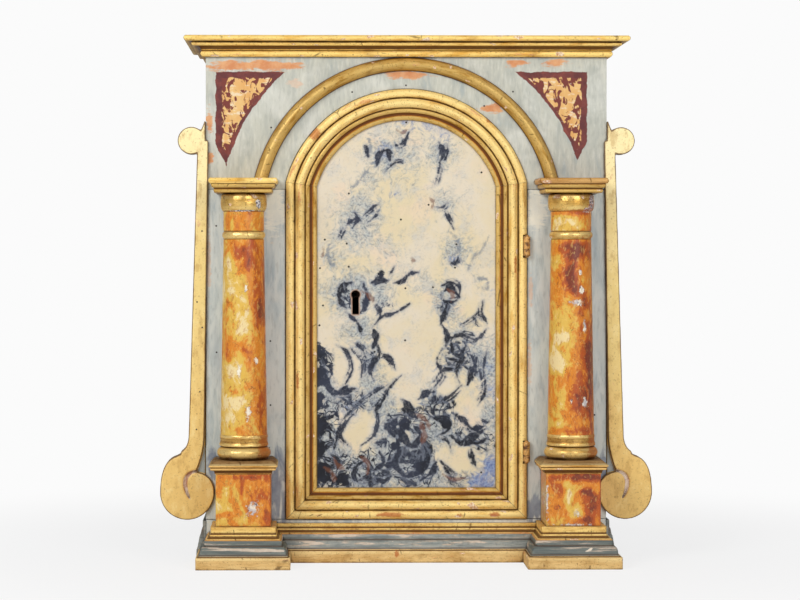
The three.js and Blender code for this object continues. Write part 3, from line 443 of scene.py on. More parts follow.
def scroll_gold():
    """Matt gold of the flat scrolls: pale above, ochre below, dark along the edges, rubbed grooves."""
    paint = Finish("scroll_gold")
    cloud = paint.noise(16.0, 6.0)
    mottle = paint.noise(120.0, 7.0, paint.stretch((1.0, 1.0, 0.5)), roughness=0.65)
    rise = paint.roughened(paint.front()[2], cloud, 0.2)
    paint.colour = paint.two_tone(rise, 0.10, 0.30, (0.91, 0.76, 0.45), (0.93, 0.82, 0.52))
    paint.cover(paint.step(rise, 0.30, 0.48), (0.98, 0.91, 0.68))
    paint.cover(paint.step(mottle, 0.50, 0.66), (0.70, 0.52, 0.23), 0.45)
    paint.cover(paint.step(mottle, 0.46, 0.34), (0.98, 0.89, 0.63), 0.4)
    edge = paint.plus(paint.attribute("edge"), mottle, 0.9)
    paint.cover(paint.step(edge, 0.75, 1.2), (0.40, 0.26, 0.11), 0.85)
    groove = paint.plus(paint.attribute("hollow"), mottle, 0.4)
    rubbed = paint.two_tone(mottle, 0.46, 0.60, (0.92, 0.84, 0.76), (0.70, 0.50, 0.38))
    paint.cover(paint.step(groove, 0.35, 0.7), rubbed)
    ground = paint.step(paint.attribute("ground"), 0.4, 0.6)
    paint.cover(ground, paint.blend(cloud, (0.56, 0.60, 0.60), (0.72, 0.74, 0.71)))
    flecks = paint.noise(430.0, 4.0, roughness=0.65)
    paint.cover(paint.step(flecks, 0.58, 0.68), (0.50, 0.34, 0.15), 0.45)
    worn_through = paint.noise(34.0, 7.0, distortion=1.0, roughness=0.65)
    paint.cover(paint.step(worn_through, 0.64, 0.68), (0.84, 0.62, 0.46), 0.55)
    paint.cover(paint.wormholes(0.045, 0.0009, 0.35), (0.16, 0.09, 0.05))
    # painted shade, broken up like grime, where another face stands close by
    paint.shade_corners((0.34, 0.24, 0.14))
    return paint.finish(paint.plus(0.4, cloud, 0.2), paint.noise(260.0, 4.0), 0.0003, metallic=0.1)


# Painted triangles of the spandrels: outer edge, radius of the curved side, and the tip of the tail
ORNAMENT = {
    "left": (0.2119, 0.2070, 0.1985, 0.4360),
    "right": (0.2011, 0.1990, 0.1885, 0.4415),
}
ORNAMENT_TOP = 0.5437
ORNAMENT_BORDER = 0.0068
TAIL_SLOPE = 0.5  # how fast a tail widens above its tip
TAIL_LENGTH = 0.030
TAIL_FLARE = 10.0  # how fast it widens above that length
BORDER_ALONG_ARCH = 1.9  # the border is thinner along the arch by this factor
BORDER_BLUR = 0.0005
EDGE_BLUR = 0.0004
# Colours that show where the paint of the boards is rubbed, lost or stained, with painted shadow (slate) and
# pale patches painted extra light (cream): two tones and strength
STAIN_AND_SHADOW_TONES = {
    "salmon": ((0.79, 0.50, 0.29), (0.85, 0.63, 0.43), 0.95),
    "blush": ((0.84, 0.66, 0.53), (0.86, 0.76, 0.66), 0.60),
    "cream": ((0.96, 0.94, 0.86), (0.90, 0.89, 0.83), 0.80),
    "slate": ((0.44, 0.47, 0.54), (0.54, 0.58, 0.64), 0.85),
}
# Where they lie: colour, x, z, half width, half height
SPANDREL_STAINS = (
    ("salmon", -0.1920, 0.5500, 0.0280, 0.0052),
    ("salmon", -0.1500, 0.5500, 0.0320, 0.0050),
    ("salmon", 0.1217, 0.5537, 0.0120, 0.0036),
    ("salmon", 0.1664, 0.5532, 0.0110, 0.0040),
    ("salmon", 0.0000, 0.5395, 0.0230, 0.0040),
    ("salmon", 0.0960, 0.5030, 0.0120, 0.0050),
    ("salmon", -0.2190, 0.4880, 0.0036, 0.0130),
    ("salmon", -0.2180, 0.4480, 0.0036, 0.0070),
    ("blush", -0.1240, 0.5310, 0.0080, 0.0044),
)
STILE_STAINS_AND_SHADOWS = (
    # pale patches below the abaci, painted extra light to stand in for light where shade falls
    ("cream", -0.1470, 0.3960, 0.0120, 0.0260),
    ("cream", 0.1440, 0.3900, 0.0100, 0.0220),
    ("blush", 0.1370, 0.2200, 0.0026, 0.0220),
    ("blush", 0.1385, 0.3000, 0.0022, 0.0150),
    ("blush", -0.2195, 0.3300, 0.0022, 0.0300),
    # painted shadow beside the pedestals, where the dies and caps shade the facade
    ("slate", -0.1410, 0.0800, 0.0100, 0.0460),
    ("slate", 0.2190, 0.1080, 0.0060, 0.0240),
    ("slate", -0.2160, 0.1050, 0.0050, 0.0180),
    ("slate", 0.1420, 0.0560, 0.0090, 0.0120),
)


def painted_triangle(paint, side, sign, strokes, ragged, smear):
    """A gold field with red blots in a red border: two straight sides, one round the arch, and a tail."""
    _, across, height = paint.front()
    outer, radius, tail, tip = ORNAMENT[side]
    own = paint.times(across, sign)
    beside = paint.minus(outer, own)
    below = paint.minus(ORNAMENT_TOP, height)
    up = paint.minus(height, ARCH_CENTRE)
    squares = paint.maths("ADD", paint.maths("POWER", own, 2.0), paint.maths("POWER", up, 2.0))
    beyond = paint.minus(paint.maths("SQRT", squares), radius)
    climb = paint.minus(height, tip)
    past_tail = paint.maths("MAXIMUM", paint.minus(climb, TAIL_LENGTH), 0.0)
    room = paint.plus(paint.times(climb, TAIL_SLOPE), past_tail, TAIL_FLARE)
    tongue = paint.minus(room, paint.maths("ABSOLUTE", paint.minus(own, tail)))
    inside = paint.chain("MINIMUM", beside, below, beyond, tongue, own)
    framed = paint.chain("MINIMUM", beside, below, paint.times(beyond, BORDER_ALONG_ARCH), tongue)
    wavy = paint.roughened(inside, ragged, 0.007)
    flecks = paint.noise(1.0, 5.0, paint.stretch((125.0, 125.0, 85.0)), distortion=0.9)
    blots = paint.plus(flecks, paint.step(wavy, 0.020, 0.006), 0.06)
    field = paint.two_tone(strokes, 0.3, 0.7, (0.85, 0.63, 0.35), (0.89, 0.74, 0.48))
    field = paint.blend(paint.times(paint.step(smear, 0.54, 0.60), 0.6), field, (0.92, 0.88, 0.79))
    field = paint.blend(paint.step(blots, 0.54, 0.57), field, (0.45, 0.18, 0.14))
    border = paint.two_tone(ragged, 0.4, 0.7, (0.36, 0.14, 0.14), (0.52, 0.24, 0.20))
    uneven = paint.roughened(framed, ragged, 0.012)
    ring = paint.step(uneven, ORNAMENT_BORDER + BORDER_BLUR, ORNAMENT_BORDER - BORDER_BLUR)
    paint.cover(paint.step(wavy, -EDGE_BLUR, EDGE_BLUR), paint.blend(ring, field, border))


def blue_paint(name, dark, light, stains_and_shadows, ornament=False):
    """Grey-blue distemper brushed down the boards, with pale strokes, stains, lost patches, painted shadow
    beside the pedestals and painted shade in the corners.
    """
    paint = Finish(name)
    strokes = paint.noise(1.0, 5.0, paint.stretch((80.0, 80.0, 20.0)), distortion=0.8)
    broad = paint.noise(13.0, 6.0, distortion=0.8)
    fine = paint.noise(1.0, 4.0, paint.stretch((420.0, 420.0, 90.0)))
    ragged = paint.noise(60.0, 7.0, roughness=0.65)
    smear = paint.noise(1.0, 7.0, paint.stretch((55.0, 55.0, 170.0)), roughness=0.72)
    paint.colour = paint.two_tone(strokes, 0.34, 0.66, dark, light)
    paint.cover(paint.step(broad, 0.50, 0.68), (0.83, 0.83, 0.79), 0.7)
    deep = paint.times(paint.step(strokes, 0.46, 0.36), paint.step(broad, 0.52, 0.40))
    paint.cover(deep, (0.58, 0.65, 0.68), 0.30)
    paint.cover(paint.step(fine, 0.52, 0.70), (0.86, 0.86, 0.82), 0.3)
    paint.cover(paint.step(fine, 0.46, 0.34), (0.56, 0.57, 0.54), 0.25)
    if ornament:
        for side, sign in SIDES:
            painted_triangle(paint, side, sign, strokes, ragged, smear)
    # stains and painted shadows: the slate ones are painted shadow, with a brushed edge
    for kind, *spot in stains_and_shadows:
        first, second, strength = STAIN_AND_SHADOW_TONES[kind]
        edge = strokes if kind == "slate" else smear
        paint.cover(paint.patch(*spot, edge), paint.two_tone(ragged, 0.36, 0.66, first, second), strength)
    lost = paint.step(paint.noise(48.0, 7.0, distortion=0.5, roughness=0.65), 0.69, 0.73)
    paint.cover(lost, (0.88, 0.82, 0.73), 0.6)
    paint.cover(paint.wormholes(0.03, 0.0010, 0.14), (0.14, 0.10, 0.08))
    # painted shade, broken up like grime, where another face stands close by
    paint.shade_corners((0.36, 0.32, 0.30), 0.003)
    relief = paint.plus(paint.times(strokes, 0.7), lost, -0.4)
    return paint.finish(paint.plus(0.5, strokes, 0.25), relief, 0.0003)


def slate_paint(name, dark, light):
    """The base's darker blue: slate grey, worn to white gesso along the edges."""
    paint = Finish(name)
    flow = paint.attribute("flow", "Vector")
    hollow = paint.attribute("hollow")
    streak = paint.noise(1.0, 6.0, paint.stretch((22.0, 170.0, 30.0), flow), roughness=0.62)
    speck = paint.noise(240.0, 6.0, roughness=0.65)
    paint.colour = paint.two_tone(streak, 0.36, 0.62, dark, light)
    paint.cover(paint.step(speck, 0.52, 0.68), (0.35, 0.36, 0.36), 0.35)
    white = paint.step(paint.plus(streak, paint.step(hollow, 0.0, -0.3), 0.11), 0.63, 0.69)
    paint.cover(white, paint.blend(speck, (0.90, 0.86, 0.80), (0.74, 0.62, 0.50)), 0.85)
    paint.cover(paint.step(hollow, 0.25, 0.8), (0.34, 0.24, 0.17), 0.7)
    chip = paint.step(paint.plus(paint.attribute("chip"), speck, 1.6), 1.25, 1.45)
    paint.cover(chip, (0.90, 0.84, 0.76))
    # painted shade, broken up like grime, where another face stands close by
    paint.shade_corners((0.22, 0.19, 0.17))
    return paint.finish(paint.plus(0.48, speck, 0.25), paint.minus(speck, white), 0.0004)


# Marbling of the columns, from each column's axis: x, z, half width, half height and strength.
# Above zero the paint turns red-brown, below zero cream.
MARBLING = {
    "left": (
        (-0.003, 0.346, 0.014, 0.011, 0.9), (0.006, 0.329, 0.005, 0.016, 0.9),
        (-0.0155, 0.331, 0.006, 0.016, -0.5), (-0.0055, 0.300, 0.010, 0.015, -1.0),
        (-0.0025, 0.2685, 0.012, 0.020, -1.2), (0.019, 0.312, 0.007, 0.040, 0.6),
        (0.018, 0.271, 0.006, 0.014, 0.9), (-0.018, 0.232, 0.005, 0.010, 1.0),
        (0.0065, 0.2275, 0.012, 0.018, 0.9), (-0.013, 0.213, 0.008, 0.010, -0.6),
        (-0.008, 0.190, 0.008, 0.005, 0.8), (-0.014, 0.167, 0.010, 0.022, -0.9),
        (0.000, 0.179, 0.009, 0.014, -0.5), (0.020, 0.179, 0.006, 0.030, 0.5),
        (0.000, 0.380, 0.026, 0.008, 0.3), (0.000, 0.0985, 0.030, 0.003, 0.8),
        (-0.0134, 0.078, 0.011, 0.014, -0.4), (-0.001, 0.0836, 0.0016, 0.010, 1.3),
        (-0.0265, 0.086, 0.004, 0.009, 1.3), (0.026, 0.089, 0.006, 0.010, 0.5),
        (0.002, 0.0536, 0.010, 0.005, -0.6), (-0.0195, 0.058, 0.009, 0.0035, 0.9),
        (0.0265, 0.055, 0.005, 0.008, 0.8), (0.022, 0.0767, 0.008, 0.006, 0.4),
    ),
    "right": (
        (0.000, 0.350, 0.024, 0.007, 0.9), (0.0045, 0.341, 0.008, 0.010, 1.3),
        (-0.003, 0.319, 0.007, 0.014, 1.2), (0.002, 0.300, 0.007, 0.009, 1.0),
        (0.013, 0.2925, 0.004, 0.012, 1.2), (-0.017, 0.324, 0.006, 0.020, -0.5),
        (-0.003, 0.292, 0.009, 0.009, -0.7), (-0.010, 0.250, 0.006, 0.005, -1.2),
        (-0.014, 0.2215, 0.008, 0.009, -1.4), (-0.019, 0.232, 0.006, 0.022, -0.7),
        (0.020, 0.227, 0.006, 0.040, 0.8), (0.007, 0.189, 0.014, 0.014, 0.9),
        (0.009, 0.170, 0.010, 0.012, 0.7), (-0.015, 0.165, 0.008, 0.012, -0.7),
        (0.000, 0.148, 0.024, 0.005, 0.8), (-0.005, 0.375, 0.014, 0.008, -0.7),
        (0.000, 0.3865, 0.025, 0.003, 1.0), (0.000, 0.0975, 0.030, 0.004, 1.3),
        (-0.020, 0.088, 0.009, 0.006, 0.8), (-0.014, 0.082, 0.005, 0.008, 0.9),
        (0.006, 0.0895, 0.008, 0.005, -0.7), (-0.005, 0.077, 0.004, 0.010, -1.2),
        (0.012, 0.0818, 0.007, 0.004, 1.3), (0.025, 0.0818, 0.004, 0.008, -0.7),
        (0.020, 0.065, 0.007, 0.009, 0.8), (-0.017, 0.062, 0.009, 0.009, 0.6),
        (0.0045, 0.0587, 0.008, 0.008, -1.4), (0.012, 0.0518, 0.009, 0.0035, 0.9),
    ),
}
MARBLE_LEAN = {"left": -0.04, "right": 0.25}  # the right column is the redder one
MARBLE_RIGHT_SHADE = 16.0  # per metre: both columns redden and darken towards their right, painted shade on the side away from the key lamp
# White and grey flakes on the columns, measured in the same way
FLAKES = {
    "left": (
        (0.014, 0.225, 0.0026, 0.0040, 1.0), (0.0055, 0.168, 0.0034, 0.0100, 0.9),
        (0.003, 0.303, 0.0018, 0.0050, 0.9), (-0.005, 0.213, 0.0020, 0.0100, 0.8),
        (0.011, 0.066, 0.0080, 0.0080, 0.7), (0.007, 0.058, 0.0060, 0.0060, 0.4),
        (0.0165, 0.396, 0.0030, 0.0055, 1.0), (0.000, 0.3885, 0.0180, 0.0010, 0.8),
    ),
    "right": (
        (0.008, 0.3215, 0.0022, 0.0032, 1.0), (0.009, 0.302, 0.0040, 0.0040, 0.9),
        (0.0055, 0.288, 0.0080, 0.0050, 0.9), (0.013, 0.261, 0.0022, 0.0080, 0.9),
        (0.013, 0.179, 0.0032, 0.0060, 1.0), (-0.002, 0.1805, 0.0018, 0.0032, 0.9),
        (-0.029, 0.073, 0.0014, 0.0240, 0.8), (0.000, 0.046, 0.0280, 0.0018, 0.7),
        (0.0045, 0.058, 0.0050, 0.0050, 0.7), (0.0215, 0.398, 0.0036, 0.0100, 1.0),
        (0.015, 0.389, 0.0040, 0.0030, 1.0),
    ),
}


def orange_marble():
    """Varnished imitation marble: cream, amber, orange and red-brown in brushed clouds, with pale flakes."""
    paint = Finish("orange_marble")
    moved = paint.warped(26.0, 0.012, paint.stretch((1.0, 1.0, 0.75)))
    broad = paint.noise(24.0, 3.0, moved)
    clouds = paint.noise(66.0, 8.0, moved, distortion=0.8, roughness=0.70)
    dabs = paint.noise(1.0, 5.0, paint.turn(24.0, (150.0, 150.0, 75.0), moved), roughness=0.6)
    fine = paint.noise(1.0, 6.0, paint.turn(-20.0, (330.0, 330.0, 200.0), moved), roughness=0.65)
    ragged = paint.noise(240.0, 7.0, roughness=0.7)
    mixed = paint.plus(paint.plus(paint.times(broad, 0.34), clouds, 0.44), dabs, 0.22)
    # tint holds the marbling and the painted shade towards each column's right
    value = paint.plus(mixed, paint.attribute("tint"), 0.125)
    paint.colour = paint.two_tone(value, 0.37, 0.42, (0.91, 0.82, 0.60), (0.86, 0.70, 0.30))
    paint.cover(paint.step(value, 0.45, 0.51), (0.84, 0.51, 0.13))
    paint.cover(paint.step(value, 0.54, 0.60), (0.69, 0.31, 0.08))
    paint.cover(paint.step(value, 0.62, 0.69), (0.47, 0.19, 0.11))
    paint.cover(paint.step(fine, 0.54, 0.64), (0.66, 0.35, 0.10), 0.45)
    paint.cover(paint.step(fine, 0.46, 0.36), (0.92, 0.78, 0.45), 0.35)
    to_vein = paint.maths("ABSOLUTE", paint.minus(paint.noise(75.0, 3.0, moved, distortion=1.6), 0.5))
    patchy = paint.times(paint.step(dabs, 0.46, 0.56), paint.step(value, 0.38, 0.46))
    paint.cover(paint.times(paint.step(to_vein, 0.016, 0.004), patchy), (0.44, 0.22, 0.09), 0.6)
    flake = paint.roughened(paint.attribute("flake"), ragged, 2.6)
    lost = paint.step(flake, 0.46, 0.66)
    pale = paint.two_tone(clouds, 0.46, 0.58, (0.95, 0.92, 0.84), (0.76, 0.74, 0.74))
    pale = paint.blend(paint.step(fine, 0.58, 0.63), pale, (0.36, 0.33, 0.36))
    paint.cover(paint.step(flake, 0.22, 0.46), (0.62, 0.42, 0.24), 0.25)
    paint.cover(lost, pale, 0.9)
    chip = paint.step(paint.plus(paint.attribute("chip"), ragged, 1.6), 1.25, 1.4)
    paint.cover(chip, (0.88, 0.78, 0.66))
    # painted shade, broken up like grime, where another face stands close by
    paint.shade_corners((0.36, 0.19, 0.09))
    roughness = paint.plus(0.2, paint.maths("ADD", lost, fine), 0.22)
    return paint.finish(roughness, paint.plus(fine, lost, -0.6), 0.0003)


# Charcoal rings on the panel: scale of the swirls and thickness of the line
RINGS = ((15.0, 0.026), (26.0, 0.024), (47.0, 0.021))


def cream_marble():
    """The door's imitation marble: cream ground, blue-grey washes, charcoal strokes and rings."""
    paint = Finish("cream_marble")
    moved = paint.warped(110.0, 0.006, paint.warped(26.0, 0.020, paint.front()[0]))
    cloud = paint.noise(14.0, 6.0, moved, distortion=0.5)
    haze = paint.noise(38.0, 7.0, moved, roughness=0.65)
    fine = paint.noise(150.0, 7.0, moved, distortion=0.6, roughness=0.65)
    speck = paint.noise(420.0, 5.0, moved, roughness=0.65)
    brush = paint.noise(1.0, 4.0, paint.stretch((240.0, 110.0, 1.0), moved))
    dry = paint.step(brush, 0.24, 0.40)

    def marks(name, unevenness):
        return paint.roughened(paint.attribute(name), fine, unevenness)

    charcoal = paint.two_tone(cloud, 0.4, 0.6, (0.10, 0.11, 0.14), (0.19, 0.21, 0.27))
    paint.colour = paint.two_tone(cloud, 0.38, 0.60, (0.855, 0.795, 0.655), (0.855, 0.81, 0.725))
    paint.cover(paint.step(haze, 0.50, 0.68), (0.75, 0.75, 0.735), 0.6)
    paint.cover(paint.step(paint.noise(20.0, 5.0, moved), 0.54, 0.68), (0.90, 0.80, 0.70), 0.45)
    grime_and_shade = paint.times(paint.step(speck, 0.50, 0.64), paint.step(haze, 0.40, 0.62))
    paint.cover(grime_and_shade, (0.62, 0.60, 0.56), 0.35)
    paint.cover(paint.step(brush, 0.48, 0.66), (0.84, 0.77, 0.64), 0.25)
    mist = marks("wash", 1.5)
    veil = paint.two_tone(speck, 0.42, 0.60, (0.70, 0.72, 0.71), (0.46, 0.495, 0.525))
    paint.cover(paint.step(mist, 0.10, 0.70), veil, 0.90)
    sky = paint.two_tone(speck, 0.42, 0.60, (0.42, 0.53, 0.72), (0.21, 0.34, 0.60))
    paint.cover(paint.step(marks("blue", 1.3), 0.35, 0.95), sky, 0.8)
    soot = paint.times(paint.step(speck, 0.56, 0.66), paint.step(mist, 0.45, 0.95))
    paint.cover(soot, (0.26, 0.29, 0.35), 0.6)
    net = marks("net", 0.9)
    for scale, thick in RINGS:
        swirl = paint.noise(scale, 2.0, moved, distortion=1.3)
        ring = paint.roughened(paint.maths("ABSOLUTE", paint.minus(swirl, 0.5)), fine, 0.06)
        halo = paint.times(paint.step(ring, 2.4 * thick, 0.6 * thick), paint.step(net, 0.30, 0.65))
        paint.cover(halo, (0.47, 0.50, 0.55), 0.5)
        inked = paint.times(paint.step(ring, thick, 0.6 * thick), paint.step(net, 0.46, 0.60), dry)
        paint.cover(inked, charcoal)
    paint.cover(paint.step(marks("smoke", 0.010), -0.0016, 0.0014), (0.46, 0.49, 0.53), 0.7)
    ink = marks("ink", 0.0070)
    thin = paint.plus(0.78, paint.step(speck, 0.60, 0.46), 0.22)
    paint.cover(paint.step(ink, -0.0036, 0.0006), (0.55, 0.58, 0.63), 0.42)
    paint.cover(paint.times(paint.step(ink, -0.0014, 0.0006), thin), (0.34, 0.37, 0.43), 0.6)
    paint.cover(paint.times(paint.step(ink, -0.0003, 0.0008), dry, thin), charcoal)
    paint.cover(paint.times(paint.step(marks("mass", 1.2), 0.45, 0.62), dry), charcoal)
    paint.cover(paint.step(marks("rust", 0.0070), -0.0014, 0.0012), (0.45, 0.28, 0.20), 0.65)
    rim = marks("rim", 0.003)
    worn_rim = paint.two_tone(rim, 0.0002, 0.0012, (0.46, 0.33, 0.25), (0.72, 0.62, 0.54))
    paint.cover(paint.step(rim, 0.0022, 0.0012), worn_rim, 0.9)
    paint.cover(paint.wormholes(0.030, 0.0011, 0.24), (0.10, 0.07, 0.05))
    # painted shade, broken up like grime, where another face stands close by
    paint.shade_corners((0.42, 0.36, 0.30), 0.006)
    paint.shader.inputs["Specular IOR Level"].default_value = 0.25
    relief = paint.plus(paint.times(brush, 0.6), paint.step(ink, -0.0005, 0.001), 0.5)
    return paint.finish(paint.plus(0.40, fine, 0.2), relief, 0.00025)


def bare_wood(name, light, dark):
    """Old unpainted softwood: grain along the flow, darker year rings, stains and dust."""
    paint = Finish(name)
    flow = paint.attribute("flow", "Vector")
    bent = paint.warped(6.0, 0.02, flow)
    rings = paint.noise(1.0, 4.0, paint.stretch((5.0, 190.0, 190.0), bent), distortion=0.4)
    fibre = paint.noise(1.0, 5.0, paint.stretch((40.0, 1400.0, 1400.0), flow))
    paint.colour = paint.two_tone(rings, 0.36, 0.62, light, dark)
    paint.cover(paint.step(fibre, 0.5, 0.75), (0.24, 0.16, 0.10), 0.55)
    paint.cover(paint.step(paint.noise(7.0, 5.0), 0.5, 0.72), (0.30, 0.22, 0.16), 0.5)
    paint.cover(paint.step(paint.noise(21.0, 6.0), 0.55, 0.75), (0.70, 0.62, 0.52), 0.3)
    return paint.finish(paint.plus(0.62, fibre, 0.25), paint.maths("ADD", rings, fibre), 0.0006)


def old_iron(name, plain, rust, metal):
    """Hand-forged iron: hammered, dark, with rust and rubbed places."""
    paint = Finish(name)
    cloud = paint.noise(170.0, 6.0)
    pits = paint.noise(700.0, 4.0)
    rusted = paint.step(cloud, 0.42, 0.64)
    paint.colour = paint.blend(rusted, plain, rust)
    paint.cover(paint.step(pits, 0.55, 0.72), (0.16, 0.10, 0.07), 0.6)
    metallic = paint.times(paint.plus(1.0, rusted, -0.8), metal)
    return paint.finish(paint.plus(0.38, cloud, 0.35), paint.plus(pits, cloud, 2.0), 0.0005, metallic)


GOLD = {name: gilding(name, *values) for name, values in GOLDS.items()}
SCROLL = scroll_gold()
FACADE_PAINT = blue_paint("facade_paint", (0.72, 0.755, 0.745), (0.835, 0.85, 0.82), STILE_STAINS_AND_SHADOWS)
SLATE = slate_paint("slate_paint", (0.46, 0.49, 0.48), (0.66, 0.665, 0.63))
FOOT_SLATE = slate_paint("foot_slate", (0.33, 0.365, 0.355), (0.485, 0.505, 0.475))
SPANDREL_PAINT = blue_paint(
    "spandrel_paint", (0.68, 0.69, 0.65), (0.755, 0.755, 0.70), SPANDREL_STAINS, ornament=True
)
MARBLE = orange_marble()
CREAM = cream_marble()
OLD_WOOD = bare_wood("old_wood", (0.60, 0.47, 0.33), (0.47, 0.34, 0.22))
DARK_WOOD = bare_wood("dark_wood", (0.34, 0.24, 0.16), (0.22, 0.15, 0.10))
IRON = old_iron("old_iron", (0.34, 0.31, 0.28), (0.44, 0.27, 0.16), 0.75)
GILT_IRON = old_iron("gilded_iron", (0.84, 0.64, 0.36), (0.36, 0.20, 0.09), 0.25)


# Mesh helpers


def noise_at(points, seed):
    """Smooth noise from -1 to 1 at each point of an array of three columns."""
    return np.array([noise.noise((x + seed, y - seed, z + 0.7 * seed)) for x, y, z in points.tolist()])


def smooth_step(low, high, values):
    share = np.clip((values - low) / (high - low), 0.0, 1.0)
    return share * share * (3.0 - 2.0 * share)


def bezier(start, pull, end):
    t = np.linspace(0.0, 1.0, CURVE_STEPS + 1)[:, None]
    start, pull, end = (np.array(p) for p in (start, pull, end))
    return (1 - t) ** 2 * start + 2 * t * (1 - t) * pull + t ** 2 * end


def curve(start, pull, end):
    return [tuple(point) for point in bezier(start, pull, end)[1:]]


def arc(centre, radius, start, end, steps=ARC_STEPS):
    angles = np.linspace(start, end, steps)
    return [(centre[0] + radius * math.cos(a), centre[1] + radius * math.sin(a)) for a in angles]


def rectangle(left, foot, right, head):
    return [(left, foot), (right, foot), (right, head), (left, head)]


def softened(values, passes):
    """An open run of values with its corners rounded off; the two ends stay."""
    for _ in range(passes):
        inner = (values[:-2] + 2 * values[1:-1] + values[2:]) / 4
        values = np.concatenate((values[:1], inner, values[-1:]))
    return values


class Moulding:
    """Fine points of a moulding's face, with the member and the groove depth of each."""

    def __init__(self, members, base=0.0):
        corners, owners = [], []
        run, at = 0.0, 0.0
        for owner, (form, projection, length, *swell) in enumerate(members):
            end = run + length
            if form == "bead":
                edge, crest = projection - swell[0], projection + swell[0]
                line = bezier((edge, run), (crest, (run + end) / 2), (edge, end))
            elif form == "starts_upright":
                line = bezier((at, run), (at, end), (projection, end))
            elif form == "starts_level":
                line = bezier((at, run), (projection, run), (projection, end))
            else:
                line = np.array(((at if form == "slope" else projection, run), (projection, end)))
            corners.extend(line)
            owners.extend([owner] * len(line))
            at = line[-1][0]
            run = end
        corners = np.array(corners)
        owners = np.array(owners)
        along = np.concatenate(([0.0], np.cumsum(np.linalg.norm(np.diff(corners, axis=0), axis=1))))
        marks = np.linspace(0.0, along[-1], int(along[-1] / FACE_STEP) + 2)
        face = np.stack([np.interp(marks, along, corners[:, axis]) for axis in (0, 1)], axis=1)
        face = softened(face, 2)
        wide = softened(face, WIDE_PASSES)
        tangent = np.gradient(face, axis=0)
        tangent /= np.maximum(np.linalg.norm(tangent, axis=1, keepdims=True), 1e-9)
        outward = np.stack((tangent[:, 1], -tangent[:, 0]), axis=1)
        self.out = face[:, 0] + base
        self.rise = face[:, 1]
        self.owner = owners[np.clip(np.searchsorted(along, marks), 0, len(owners) - 1)]
        self.hollow = np.clip(np.sum((wide - face) * outward, axis=1) / HOLLOW_DEPTH, -1.0, 1.0)
        self.across = marks

    def finishes(self, member_finish):
        """Which finish each point has: the one given for its member, or the first everywhere."""
        if member_finish is None:
            return np.zeros_like(self.owner)
        return np.array(member_finish)[self.owner]


def worn(moulding, along, seed):
    """How far each point of a run is worn in or out, and how chipped it is: rows follow the run."""
    shape = (len(along), len(moulding.out))

    def ripples(rates, own_seed):
        a, b = np.broadcast_arrays(along[:, None] * rates[0], moulding.across[None, :] * rates[1])
        return noise_at(np.stack((a, b, np.zeros(shape)), axis=-1).reshape(-1, 3), own_seed).reshape(shape)

    ridge = smooth_step(0.0, -0.3, moulding.hollow)
    chip = smooth_step(*CHIP_RANGE, ripples(CHIP_RATE, seed + 57)) * ridge
    uneven = ripples(SLOW_RATE, seed) * SLOW_WEAR + ripples(FINE_RATE, seed + 31) * FINE_WEAR
    return uneven - chip * CHIP_DEPTH, chip


@contextlib.contextmanager
def editing(mesh):
    """Opens a mesh for changes and writes them back."""
    shape = bmesh.new()
    shape.from_mesh(mesh)
    yield shape
    shape.to_mesh(mesh)
    shape.free()


def link(thing):
    bpy.context.scene.collection.objects.link(thing)
    return thing


def note(mesh, **values):
    """Keeps a number or a vector for each point of a mesh, for its material to read."""
    for key, data in values.items():
        data = np.asarray(data, dtype=np.float32)
        kind, field = ("FLOAT_VECTOR", "vector") if data.ndim > 1 else ("FLOAT", "value")
        layer = mesh.attributes.new(key, kind, "POINT")
        layer.data.foreach_set(field, data.ravel())


def places_of(thing):
    return np.array([vertex.co for vertex in thing.data.vertices])


def tidy(mesh, sharp):
    """Faces point outwards, long faces are split, and only real corners stay sharp."""
    with editing(mesh) as shape:
        bmesh.ops.recalc_face_normals(shape, faces=shape.faces)
        bmesh.ops.triangulate(shape, faces=[face for face in shape.faces if len(face.verts) > 4])
        for face in shape.faces:
            face.smooth = True
    mesh.set_sharp_from_angle(angle=sharp)


def adopt(mesh, node):
    """Shows a mesh in place of a part: it rides on the part's body."""
    thing = link(bpy.data.objects.new(f"{node}_detail", mesh))
    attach(thing, NODES[node]["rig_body"])
    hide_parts(node)
    return thing


def piece(node, points, faces, finishes, slot, face_finish=None, sharp=SHARP, **values):
    """Makes the mesh of a part from its points and faces, and shows it."""
    mesh = bpy.data.meshes.new(f"{node}_detail")
    mesh.from_pydata(np.asarray(points).reshape(-1, 3).tolist(), [], faces)
    for finish in finishes:
        mesh.materials.append(finish)
    if face_finish is not None:
        mesh.polygons.foreach_set("material_index", np.asarray(face_finish, dtype=np.int32))
    note(mesh, **values)
    tidy(mesh, sharp)
    return adopt(mesh, node)


def grid_faces(rows, columns, closed_rows, closed_columns):
    faces = []
    for row in range(rows if closed_rows else rows - 1):
        here, after = row * columns, (row + 1) % rows * columns
        for column in range(columns if closed_columns else columns - 1):
            beside = (column + 1) % columns
            faces.append((here + column, here + beside, after + beside, after + column))
    return faces


def tube_faces(rows, columns):
    """Faces of a row of rings that is closed at both ends."""
    ends = [tuple(range(columns)), tuple(range((rows - 1) * columns, rows * columns))]
    return grid_faces(rows, columns, False, True) + ends


def flow_of(along, across):
    """Where each point lies along a run and across it."""
    return np.stack(np.broadcast_arrays(along[:, None], across[None, :], 0.0), axis=-1).reshape(-1, 3)


